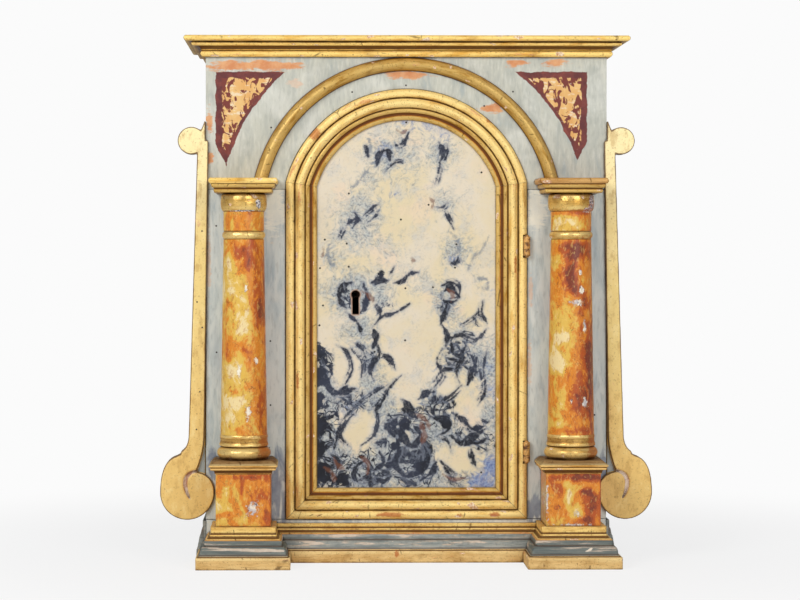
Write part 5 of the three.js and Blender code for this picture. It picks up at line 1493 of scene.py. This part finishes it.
# Brush strokes on the panel: paint, half width, then the places that the brush passes
STROKES = (
    ("ink", 0.0042, (-0.033, 0.440), (-0.030, 0.453), (-0.021, 0.456), (-0.018, 0.445)),
    ("ink", 0.0026, (-0.045, 0.463), (-0.043, 0.454), (-0.042, 0.447)),
    ("ink", 0.0026, (-0.012, 0.462), (-0.003, 0.465), (0.003, 0.477)),
    ("ink", 0.0014, (-0.022, 0.435), (-0.012, 0.443), (-0.003, 0.442)),
    ("ink", 0.0042, (0.036, 0.466), (0.041, 0.455), (0.037, 0.443)),
    ("ink", 0.0014, (0.038, 0.443), (0.035, 0.430), (0.031, 0.417)),
    ("ink", 0.0018, (0.045, 0.464), (0.046, 0.453), (0.042, 0.445)),
    ("smoke", 0.0015, (-0.034, 0.446), (-0.048, 0.428), (-0.062, 0.412)),
    ("smoke", 0.0024, (-0.042, 0.470), (-0.040, 0.460), (-0.043, 0.450)),
    ("rust", 0.0016, (-0.012, 0.480), (-0.004, 0.476), (0.002, 0.482)),
    ("ink", 0.0017, (0.032, 0.394), (0.040, 0.393), (0.046, 0.399)),
    ("ink", 0.0015, (0.041, 0.392), (0.047, 0.380), (0.053, 0.368)),
    ("rust", 0.0020, (0.026, 0.404), (0.030, 0.398), (0.028, 0.392)),
    ("ink", 0.0036, (-0.066, 0.374), (-0.058, 0.380), (-0.050, 0.378)),
    ("ink", 0.0020, (-0.058, 0.388), (-0.054, 0.380), (-0.060, 0.370)),
    ("ink", 0.0020, (-0.048, 0.384), (-0.038, 0.392), (-0.030, 0.398)),
    ("ink", 0.0010, (-0.044, 0.376), (-0.036, 0.382), (-0.032, 0.390)),
    ("ink", 0.0010, (-0.066, 0.372), (-0.070, 0.364), (-0.073, 0.358)),
    ("smoke", 0.0026, (-0.086, 0.352), (-0.088, 0.340), (-0.082, 0.328)),
    ("rust", 0.0015, (-0.093, 0.350), (-0.092, 0.343), (-0.094, 0.338)),
    ("smoke", 0.0024, (0.048, 0.366), (0.056, 0.358), (0.058, 0.346), (0.050, 0.338)),
    ("ink", 0.0030, (0.048, 0.332), (0.054, 0.330), (0.058, 0.338)),
    ("smoke", 0.0013, (0.092, 0.362), (0.086, 0.348), (0.074, 0.336), (0.068, 0.322)),
    ("ink", 0.0050, (-0.039, 0.309), (-0.029, 0.313), (-0.020, 0.311)),
    ("ink", 0.0014, (-0.020, 0.316), (-0.016, 0.322), (-0.014, 0.328)),
    ("ink", 0.0030, (-0.015, 0.309), (-0.004, 0.311), (0.004, 0.319), (0.013, 0.321)),
    ("ink", 0.0034, (-0.060, 0.310), (-0.074, 0.304), (-0.074, 0.290), (-0.066, 0.280)),
    ("ink", 0.0028, (-0.048, 0.308), (-0.044, 0.296), (-0.046, 0.282), (-0.054, 0.274)),
    ("rust", 0.0026, (-0.050, 0.300), (-0.040, 0.294), (-0.036, 0.284)),
    ("ink", 0.0022, (-0.036, 0.262), (-0.026, 0.272), (-0.012, 0.276), (0.004, 0.286)),
    ("ink", 0.0022, (-0.028, 0.270), (-0.030, 0.280), (-0.034, 0.286)),
    ("ink", 0.0030, (-0.066, 0.276), (-0.054, 0.264), (-0.050, 0.252)),
    ("ink", 0.0024, (0.040, 0.306), (0.050, 0.310), (0.060, 0.302), (0.056, 0.290), (0.044, 0.288),
     (0.038, 0.296)),
    ("rust", 0.0020, (0.046, 0.300), (0.052, 0.296), (0.050, 0.288)),
    ("ink", 0.0030, (0.046, 0.288), (0.042, 0.274), (0.038, 0.262)),
    ("ink", 0.0036, (0.040, 0.262), (0.046, 0.250), (0.044, 0.238)),
    ("ink", 0.0012, (0.060, 0.262), (0.070, 0.268), (0.080, 0.276)),
    ("ink", 0.0014, (0.052, 0.246), (0.062, 0.252), (0.076, 0.250)),
    ("ink", 0.0020, (0.086, 0.290), (0.084, 0.276), (0.090, 0.264)),
    ("smoke", 0.0014, (0.080, 0.314), (0.090, 0.312), (0.090, 0.302), (0.080, 0.304)),
    ("ink", 0.0034, (-0.034, 0.246), (-0.030, 0.230), (-0.040, 0.214), (-0.036, 0.200)),
    ("ink", 0.0030, (-0.030, 0.232), (-0.018, 0.224), (-0.012, 0.212)),
    ("ink", 0.0018, (-0.060, 0.244), (-0.050, 0.236), (-0.044, 0.222)),
    ("ink", 0.0022, (-0.078, 0.240), (-0.066, 0.232), (-0.060, 0.214), (-0.068, 0.196)),
    ("ink", 0.0030, (-0.092, 0.198), (-0.080, 0.186), (-0.066, 0.194)),
    ("ink", 0.0016, (-0.020, 0.196), (-0.040, 0.184), (-0.062, 0.166), (-0.076, 0.150)),
    ("ink", 0.0018, (-0.006, 0.206), (-0.020, 0.190), (-0.030, 0.172)),
    ("ink", 0.0020, (0.040, 0.236), (0.034, 0.222), (0.040, 0.206), (0.030, 0.192)),
    ("ink", 0.0026, (0.056, 0.240), (0.064, 0.226), (0.056, 0.210), (0.060, 0.196)),
    ("ink", 0.0024, (0.044, 0.226), (0.056, 0.222), (0.070, 0.212)),
    ("ink", 0.0018, (0.070, 0.232), (0.078, 0.216), (0.074, 0.200)),
    ("ink", 0.0022, (0.090, 0.236), (0.086, 0.214), (0.088, 0.190), (0.080, 0.172)),
    ("ink", 0.0024, (0.062, 0.196), (0.050, 0.184), (0.036, 0.176)),
    ("ink", 0.0024, (-0.040, 0.176), (-0.032, 0.160), (-0.036, 0.140), (-0.050, 0.128)),
    ("ink", 0.0022, (-0.072, 0.158), (-0.074, 0.140), (-0.064, 0.128)),
    ("ink", 0.0042, (-0.006, 0.180), (0.004, 0.170), (0.012, 0.158)),
    ("ink", 0.0044, (-0.010, 0.160), (-0.014, 0.148), (-0.006, 0.140)),
    ("ink", 0.0036, (0.008, 0.150), (0.016, 0.140), (0.012, 0.128)),
    ("ink", 0.0036, (-0.010, 0.134), (-0.008, 0.118), (-0.018, 0.106), (-0.030, 0.108)),
    ("ink", 0.0046, (0.018, 0.130), (0.024, 0.116), (0.018, 0.102), (0.006, 0.096)),
    ("ink", 0.0032, (0.026, 0.160), (0.038, 0.156), (0.046, 0.146)),
    ("ink", 0.0020, (0.034, 0.138), (0.046, 0.132), (0.050, 0.120)),
    ("ink", 0.0038, (0.052, 0.164), (0.064, 0.156), (0.074, 0.146), (0.088, 0.150)),
    ("ink", 0.0030, (0.066, 0.134), (0.078, 0.130), (0.090, 0.136)),
    ("ink", 0.0018, (0.036, 0.112), (0.046, 0.104), (0.056, 0.094)),
    ("ink", 0.0030, (-0.044, 0.112), (-0.056, 0.104), (-0.058, 0.092), (-0.046, 0.088)),
    ("ink", 0.0034, (-0.086, 0.120), (-0.076, 0.110), (-0.078, 0.096)),
    ("ink", 0.0034, (-0.036, 0.094), (-0.026, 0.088), (-0.016, 0.094)),
    ("rust", 0.0030, (-0.052, 0.116), (-0.042, 0.108), (-0.044, 0.096)),
    ("rust", 0.0030, (0.010, 0.164), (0.022, 0.156), (0.026, 0.146)),
    ("rust", 0.0028, (-0.092, 0.104), (-0.082, 0.096), (-0.080, 0.086)),
    ("rust", 0.0024, (0.040, 0.096), (0.052, 0.090), (0.066, 0.092)),
    ("rust", 0.0026, (0.0055, 0.3370), (0.0070, 0.3340), (0.0065, 0.3310)),
    ("ink", 0.0050, (0.042, 0.300), (0.050, 0.303), (0.058, 0.295)),
    ("ink", 0.0045, (-0.037, 0.259), (-0.034, 0.247), (-0.038, 0.236)),
    ("ink", 0.0030, (0.045, 0.246), (0.062, 0.251), (0.078, 0.246), (0.090, 0.258)),
    ("ink", 0.0030, (0.050, 0.244), (0.052, 0.231), (0.060, 0.228), (0.067, 0.240)),
    ("ink", 0.0034, (0.079, 0.227), (0.074, 0.212), (0.068, 0.195)),
    ("ink", 0.0028, (0.031, 0.199), (0.040, 0.211), (0.057, 0.214)),
    ("ink", 0.0044, (0.013, 0.179), (0.022, 0.186), (0.031, 0.188)),
    ("ink", 0.0060, (-0.005, 0.169), (0.002, 0.167), (0.007, 0.159)),
    ("ink", 0.0055, (-0.007, 0.150), (-0.002, 0.134), (0.008, 0.127), (0.015, 0.139)),
    ("ink", 0.0046, (-0.010, 0.121), (-0.012, 0.106), (0.000, 0.094), (0.014, 0.100), (0.017, 0.117)),
    ("ink", 0.0032, (-0.030, 0.121), (-0.025, 0.109), (-0.037, 0.100)),
    ("ink", 0.0055, (0.049, 0.139), (0.062, 0.130), (0.074, 0.137), (0.089, 0.147)),
    ("ink", 0.0026, (0.072, 0.127), (0.074, 0.114), (0.079, 0.101)),
    ("ink", 0.0034, (0.035, 0.113), (0.028, 0.098), (0.015, 0.088)),
    ("ink", 0.0026, (0.041, 0.107), (0.048, 0.096), (0.055, 0.089)),
    ("ink", 0.0050, (-0.093, 0.216), (-0.088, 0.196), (-0.074, 0.187), (-0.057, 0.191)),
    ("ink", 0.0018, (-0.063, 0.237), (-0.050, 0.221), (-0.050, 0.203)),
    ("ink", 0.0028, (-0.021, 0.185), (-0.030, 0.172), (-0.037, 0.165)),
    ("ink", 0.0034, (-0.081, 0.123), (-0.074, 0.144), (-0.059, 0.163)),
    ("ink", 0.0034, (0.033, 0.161), (0.044, 0.159), (0.047, 0.146), (0.036, 0.139)),
    ("ink", 0.0050, (-0.025, 0.153), (-0.018, 0.146), (-0.013, 0.137)),
    ("smoke", 0.0020, (-0.063, 0.171), (-0.046, 0.182), (-0.031, 0.193)),
    ("rust", 0.0040, (0.016, 0.153), (0.020, 0.142), (0.018, 0.129)),
    ("rust", 0.0034, (-0.081, 0.114), (-0.076, 0.106), (-0.069, 0.102)),
    ("rust", 0.0026, (0.046, 0.302), (0.051, 0.298), (0.050, 0.292)),
)
# Soft washes: x, z, radius, strength
WASHES = (
    (-0.024, 0.450, 0.026, 0.60), (0.038, 0.452, 0.020, 0.60), (-0.050, 0.385, 0.030, 0.60),
    (-0.040, 0.425, 0.018, 0.45), (0.044, 0.398, 0.018, 0.50), (-0.020, 0.345, 0.030, 0.25),
    (0.056, 0.345, 0.020, 0.60), (-0.080, 0.335, 0.020, 0.45), (-0.060, 0.296, 0.030, 0.80),
    (-0.028, 0.296, 0.024, 0.60), (0.048, 0.286, 0.026, 0.80), (0.080, 0.305, 0.016, 0.45),
    (0.010, 0.305, 0.030, 0.30), (-0.040, 0.228, 0.036, 0.60), (0.050, 0.225, 0.036, 0.60),
    (0.060, 0.190, 0.030, 0.60), (-0.010, 0.165, 0.038, 0.70), (0.030, 0.145, 0.034, 0.70),
    (0.080, 0.140, 0.026, 0.60), (-0.030, 0.105, 0.040, 0.70), (0.020, 0.100, 0.040, 0.70),
    (-0.065, 0.170, 0.034, 0.55), (-0.080, 0.190, 0.040, 0.75), (-0.085, 0.120, 0.046, 0.80),
    (-0.030, 0.175, 0.040, 0.70), (0.030, 0.185, 0.036, 0.65), (0.082, 0.215, 0.034, 0.70),
    (0.050, 0.130, 0.042, 0.70), (0.000, 0.125, 0.050, 0.75), (-0.045, 0.098, 0.046, 0.80),
    (0.086, 0.165, 0.030, 0.65), (-0.050, 0.255, 0.028, 0.60), (0.058, 0.250, 0.026, 0.55),
    (-0.085, 0.300, 0.018, 0.45), (-0.010, 0.455, 0.040, 0.45), (-0.055, 0.370, 0.034, 0.55),
    (-0.030, 0.130, 0.080, 0.62), (0.040, 0.130, 0.070, 0.62), (0.050, 0.205, 0.050, 0.58),
    (-0.040, 0.200, 0.050, 0.58), (0.004, 0.190, 0.040, 0.50),
)
# Islands of clear cream among the washes: x, z, half width, half height, strength
ISLANDS = (
    (-0.067, 0.212, 0.014, 0.019, 1.0), (-0.050, 0.144, 0.014, 0.020, 1.0),
    (0.006, 0.238, 0.028, 0.040, 1.0), (0.048, 0.193, 0.011, 0.012, 0.9), (0.070, 0.172, 0.013, 0.024, 0.9),
    (0.052, 0.112, 0.015, 0.012, 1.0), (0.001, 0.137, 0.004, 0.007, 0.8),
    (-0.070, 0.148, 0.005, 0.020, 0.8), (0.000, 0.180, 0.012, 0.016, 0.9),
    (0.072, 0.290, 0.018, 0.016, 0.7), (0.058, 0.116, 0.020, 0.010, 0.6),
)
BLUES = (
    (0.004, 0.494, 0.026, 0.64), (0.040, 0.478, 0.020, 0.64), (-0.026, 0.455, 0.014, 0.64),
    (0.098, 0.104, 0.018, 1.05), (0.084, 0.086, 0.020, 1.00), (0.096, 0.190, 0.016, 0.64),
    (-0.062, 0.172, 0.018, 0.56), (0.053, 0.335, 0.012, 0.64), (-0.036, 0.090, 0.026, 0.48),
    (0.032, 0.215, 0.014, 0.48), (-0.014, 0.410, 0.014, 0.48), (0.098, 0.300, 0.012, 0.48),
    (-0.084, 0.112, 0.016, 0.48), (0.020, 0.300, 0.020, 0.36), (0.024, 0.489, 0.020, 0.64),
    (0.088, 0.215, 0.018, 0.56), (-0.070, 0.165, 0.012, 0.56), (0.018, 0.170, 0.012, 0.48),
)
# Where charcoal rings close round islands of cream
NETS = (
    (-0.092, 0.215, 0.026, 1.00), (-0.092, 0.150, 0.034, 1.10), (-0.082, 0.100, 0.034, 1.05),
    (-0.045, 0.222, 0.026, 0.75), (-0.060, 0.170, 0.032, 0.85), (-0.035, 0.112, 0.036, 1.00),
    (0.002, 0.160, 0.030, 1.00), (0.012, 0.108, 0.036, 1.05), (0.046, 0.170, 0.034, 0.90),
    (0.056, 0.226, 0.028, 0.85), (0.076, 0.140, 0.032, 0.95), (0.046, 0.280, 0.020, 0.75),
    (-0.062, 0.292, 0.018, 0.80), (-0.020, 0.280, 0.022, 0.65), (0.056, 0.100, 0.028, 0.70),
    (0.080, 0.270, 0.018, 0.60),
)
# Dark masses down the left edge and between the islands
MASSES = (
    (-0.101, 0.232, 0.014, 0.90), (-0.099, 0.205, 0.015, 0.95), (-0.102, 0.178, 0.014, 0.95),
    (-0.098, 0.150, 0.015, 0.95), (-0.100, 0.124, 0.014, 0.95), (-0.096, 0.098, 0.016, 0.95),
    (-0.002, 0.152, 0.010, 0.85), (0.016, 0.104, 0.011, 0.85), (-0.070, 0.090, 0.012, 0.80),
    (0.044, 0.152, 0.009, 0.80), (-0.012, 0.128, 0.009, 0.80), (0.078, 0.146, 0.008, 0.75),
    (-0.070, 0.300, 0.009, 0.72), (-0.045, 0.288, 0.008, 0.70), (-0.028, 0.318, 0.007, 0.75),
)


def brush_path(places):
    """A smooth path through the places, with its ends drawn out a little."""
    places = [np.array(place) for place in places]
    places = [2 * places[0] - places[1]] + places + [2 * places[-1] - places[-2]]
    path = []
    for before, start, end, after in zip(places, places[1:], places[2:], places[3:]):
        for t in np.linspace(0.0, 1.0, CURVE_STEPS, endpoint=False):
            bend = 2 * before - 5 * start + 4 * end - after
            swing = 3 * (start - end) + after - before
            path.append((2 * start + (end - before) * t + bend * t ** 2 + swing * t ** 3) / 2)
    path.append(places[-2])
    return np.array(path)


HAIR_HALF = 0.0009  # of the thin line that a split brush leaves beside a stroke of ink
HAIR_OFFSET = 0.0036
HAIR_TURN = 2.4  # radians from one stroke's hair to the next one's
HAIR_SHORTER = 3  # points at each end
FAR_OUTSIDE = -0.009


def stroke_depths(places):
    """For each paint, how deep inside its strokes a place lies; below zero is outside."""
    depths = {name: np.full(len(places), FAR_OUTSIDE) for name in ("ink", "smoke", "rust")}
    for index, (name, half_width, *passes) in enumerate(STROKES):
        path = brush_path(passes)
        gap, along = distance_to_path(places, path)
        pressed = 0.85 + 0.3 * np.sin(9.0 * along + index)
        ends = np.clip(4.0 * np.minimum(along, 1.0 - along), 0.0, 1.0)
        half = half_width * (0.22 + 0.64 * ends) * pressed
        depths[name] = np.maximum(depths[name], half - gap)
        if name == "ink":
            turn = HAIR_TURN * index
            aside = HAIR_OFFSET * np.array((math.cos(turn), math.sin(turn)))
            gap, along = distance_to_path(places, path[HAIR_SHORTER:-HAIR_SHORTER] + aside)
            depths[name] = np.maximum(depths[name], HAIR_HALF * np.sin(along * math.pi) - gap)
    return depths


def soft_spots(places, spots):
    """The strongest of the soft round spots at each place."""
    total = np.zeros(len(places))
    for x, z, radius, strength in spots:
        gap = np.hypot(places[:, 0] - x, places[:, 1] - z)
        total = np.maximum(total, strength * np.exp(-(gap / radius) ** 2))
    return total


PANEL_COLUMNS = 190
PANEL_ROWS = 330
PANEL_RATE = 12  # ripples in a metre
PANEL_WEAR = 0.0003
PANEL_FINISHES = [CREAM, OLD_WOOD, DARK_WOOD]
BARE, INSIDE_KEYHOLE = 1, 2  # places in that list


def panel_blank():
    """The arched panel as a fine grid in front, with plain edges and back."""
    across = np.linspace(-DOOR_HALF, DOOR_HALF, PANEL_COLUMNS)
    head = ARCH_CENTRE + np.sqrt(np.maximum(DOOR_RADIUS ** 2 - across ** 2, 0.0))
    share = np.linspace(0.0, 1.0, PANEL_ROWS)[:, None]
    z = DOOR_FOOT + share * (head - DOOR_FOOT)
    front = np.stack(np.broadcast_arrays(across, 0.0, z), axis=-1).reshape(-1, 3)
    front[:, 1] = PANEL_FRONT + np.abs(noise_at(front * PANEL_RATE, 51.0)) * PANEL_WEAR
    first = len(front)
    grid = np.arange(first).reshape(PANEL_ROWS, PANEL_COLUMNS)
    rim = np.concatenate((grid[0], grid[1:, -1], grid[-1, -2::-1], grid[-2:0:-1, 0])).tolist()
    behind = front[rim]
    behind[:, 1] = PANEL_BACK
    faces = grid_faces(PANEL_ROWS, PANEL_COLUMNS, False, False)
    face_finish = [0] * len(faces) + [BARE] * (len(rim) + 1)
    for i, here in enumerate(rim):
        j = (i + 1) % len(rim)
        faces.append((here, rim[j], first + j, first + i))
    faces.append(tuple(range(first, first + len(rim))))
    points = np.concatenate((front, behind))
    return piece("door_panel", points, faces, PANEL_FINISHES, "cream_marbled_wood", face_finish)


def door_panel():
    """The panel with its mortises and keyhole, and where each kind of paint lies on it."""
    panel = panel_blank()
    keyhole = prism(keyhole_outline(), PANEL_FRONT - KEYHOLE_PAST, PANEL_BACK + KEYHOLE_PAST)
    carve(panel, *hinge_tools(), keyhole)
    mesh = panel.data
    points = places_of(panel)
    places = points[:, [0, 2]]
    islands = soft_ellipses(places[:, 0], places[:, 1], ISLANDS)
    note(
        mesh,
        **stroke_depths(places),
        rim=distance_to_outline(places, keyhole_outline()),
        wash=soft_spots(places, WASHES) - islands,
        blue=soft_spots(places, BLUES),
        net=soft_spots(places, NETS) - islands,
        mass=soft_spots(places, MASSES),
        flow=points[:, [2, 0, 1]],
    )
    for face in mesh.polygons:
        aside, above = abs(face.center.x - KEY_X), abs(face.center.z - KEY_Z)
        near = aside < 2 * KEY_RADIUS and above < KEY_DROP + KEY_RADIUS
        if near and abs(face.normal.y) < 0.5:
            face.material_index = INSIDE_KEYHOLE
    mesh.set_sharp_from_angle(angle=PANEL_SHARP)


door_panel()

FRAME_FACE = Moulding(DOOR_FRAME)
FRAME_WIDTH = sum(member[2] for member in DOOR_FRAME)
FRAME_OVERHANG = 0.0013  # the frame covers most of the gap round the door
FRAME_FINISHES = [GOLD["gold_leaf"], GOLD["red_gold"], GOLD["olive_gold"]]
FRAME_MEMBER_FINISH = (0, 0, 0, 2, 2, 1, 2)
ARCH_RUN = 2.6 * DOOR_RADIUS  # roughly the arch's length


def frame_lines(inward):
    """Inset from the door's edge at a distance into the frame, with the half width and the spring there."""
    inset = inward * (1 + FRAME_OVERHANG / FRAME_WIDTH) - FRAME_OVERHANG
    half = DOOR_HALF - inset
    return inset, half, np.sqrt((DOOR_RADIUS - inset) ** 2 - half ** 2)


def frame_piece(name, length, place, seed):
    moulding = swept(
        f"door_{name}_moulding", FRAME_FACE, length, place, FRAME_FINISHES, "gilded_wood", seed,
        -BACK_SETBACK, FRAME_MEMBER_FINISH,
    )
    reddened(moulding, RED_SPOTS)
    return moulding


def door_frame():
    """Four mitred mouldings on the panel: two uprights, a rail and an arch."""
    for side, sign in SIDES:
        def upright(out, inward, share):
            inset, half, spring = frame_lines(inward)
            foot = DOOR_FOOT + inset + JOINT
            head = ARCH_CENTRE + spring - JOINT
            return sign * half, FACADE_Y - out, foot + share * (head - foot)

        length = ARCH_CENTRE + DOOR_SPRING_RISE - DOOR_FOOT
        moulding = frame_piece(side, length, upright, 61.0 + 3 * sign)
    rooms = [
        round_tool(HINGE_X, HINGE_Y, z - KNUCKLE_ROOM_HALF, z + KNUCKLE_ROOM_HALF, KNUCKLE_ROOM)
        for z in HINGE_HEIGHTS
    ]
    carve(moulding, *rooms, *hinge_tools())

    def rail(out, inward, share):
        inset, half, _ = frame_lines(inward)
        return (2 * share - 1) * (half - JOINT), FACADE_Y - out, DOOR_FOOT + inset

    def arch(out, inward, share):
        inset, half, spring = frame_lines(inward)
        radius = DOOR_RADIUS - inset
        angle = (2 * share - 1) * np.arctan2(half, spring)
        return radius * np.sin(angle), FACADE_Y - out, ARCH_CENTRE + radius * np.cos(angle)

    frame_piece("bottom", 2 * DOOR_HALF, rail, 71.0)
    frame_piece("arch", ARCH_RUN, arch, 73.0)


door_frame()


# Iron: hinges and lock

HINGE_EASE = 0.00025
LOCK_EASE = 0.0003
NAIL_EASE = 0.0002
LOCK_PARTS = (
    "lock_plate", "lock_bolt", "bolt_head_guide", "bolt_tail_guide", "bolt_spring", "key_bridge",
    "lock_keeper",
)

for hinge in ("upper", "lower"):
    for part in ("door_leaf", "case_leaf", "pin"):
        bevelled(f"{hinge}_hinge_{part}", HINGE_EASE, GILT_IRON)
for node in LOCK_PARTS:
    bevelled(node, LOCK_EASE, IRON)
for node in [name for name in NODES if "nail" in name]:
    bevelled(node, NAIL_EASE, IRON)


# Floor, light and camera

PAPER_WHITE = (0.965, 0.965, 0.965, 1.0)
FLOOR_GREY = (0.9, 0.9, 0.9, 1.0)
SKY_GREY = (0.33, 0.33, 0.34, 1.0)
FLOOR_HALF = 30.0
FLOOR_BACK = 60.0
SHADOW_REACH = (0.3, 0.9)  # where the floor's own shade fades into white
LAMP_AIM = (0.0, 0.0, 0.3)
CAMERA_PLACE = (-0.110, -2.752, 0.350)
CAMERA_DOWN = 0.7  # degrees below level
CAMERA_ASIDE = 1.0  # degrees towards the right
CAMERA_SHIFT = (0.0626, -0.0303)
FOCAL_LENGTH = 109.3


def stage_floor():
    """A pale floor that fades into the white background away from the object."""
    mesh = bpy.data.meshes.new("floor")
    corners = rectangle(-FLOOR_HALF, -FLOOR_HALF, FLOOR_HALF, FLOOR_BACK)
    mesh.from_pydata([(x, y, 0.0) for x, y in corners], [], [(0, 1, 2, 3)])
    floor = link(bpy.data.objects.new("floor", mesh))
    paint = Finish("pale_floor")
    paint.shader.inputs["Base Color"].default_value = FLOOR_GREY
    paint.shader.inputs["Roughness"].default_value = 0.9
    glow = paint.add("ShaderNodeEmission", {"Color": PAPER_WHITE})
    away = paint.vector_maths("LENGTH", paint.place, output="Value")
    fade = paint.plus(0.8, paint.step(away, *SHADOW_REACH), 0.2)
    seen = paint.times(paint.add("ShaderNodeLightPath").outputs["Is Camera Ray"], fade)
    inputs = {0: seen, 1: paint.shader.outputs[0], 2: glow.outputs[0]}
    mixed = paint.add("ShaderNodeMixShader", inputs).outputs[0]
    paint.links.new(mixed, paint.nodes["Material Output"].inputs["Surface"])
    mesh.materials.append(paint.material)


def soft_lamp(name, place, size, power):
    data = bpy.data.lights.new(name, "AREA")
    data.size = size
    data.energy = power
    lamp = link(bpy.data.objects.new(name, data))
    lamp.location = place
    lamp.rotation_euler = (Vector(LAMP_AIM) - Vector(place)).to_track_quat("-Z", "Y").to_euler()


def white_world():
    """White behind the object, and a grey light all round it."""
    world = bpy.data.worlds.new("studio")
    bpy.context.scene.world = world
    world.use_nodes = True
    nodes, links = world.node_tree.nodes, world.node_tree.links
    rays = nodes.new("ShaderNodeLightPath")
    level = nodes.new("ShaderNodeMix")
    level.data_type = "RGBA"
    level.inputs[6].default_value = SKY_GREY
    level.inputs[7].default_value = PAPER_WHITE
    links.new(rays.outputs["Is Camera Ray"], level.inputs[0])
    links.new(level.outputs[2], nodes["Background"].inputs["Color"])
    nodes["Background"].inputs["Strength"].default_value = 1.0


stage_floor()
white_world()
soft_lamp("key", (-1.50, -2.0, 1.5), 1.1, 36.0)
soft_lamp("fill", (1.1, -2.2, 1.2), 1.4, 23.0)

camera_data = bpy.data.cameras.new("camera")
camera_data.lens = FOCAL_LENGTH
camera_data.shift_x, camera_data.shift_y = CAMERA_SHIFT
camera = link(bpy.data.objects.new("camera", camera_data))
camera.location = CAMERA_PLACE
camera.rotation_euler = (math.radians(90 - CAMERA_DOWN), 0.0, -math.radians(CAMERA_ASIDE))
bpy.context.scene.camera = camera
bpy.context.scene.view_settings.view_transform = "Standard"
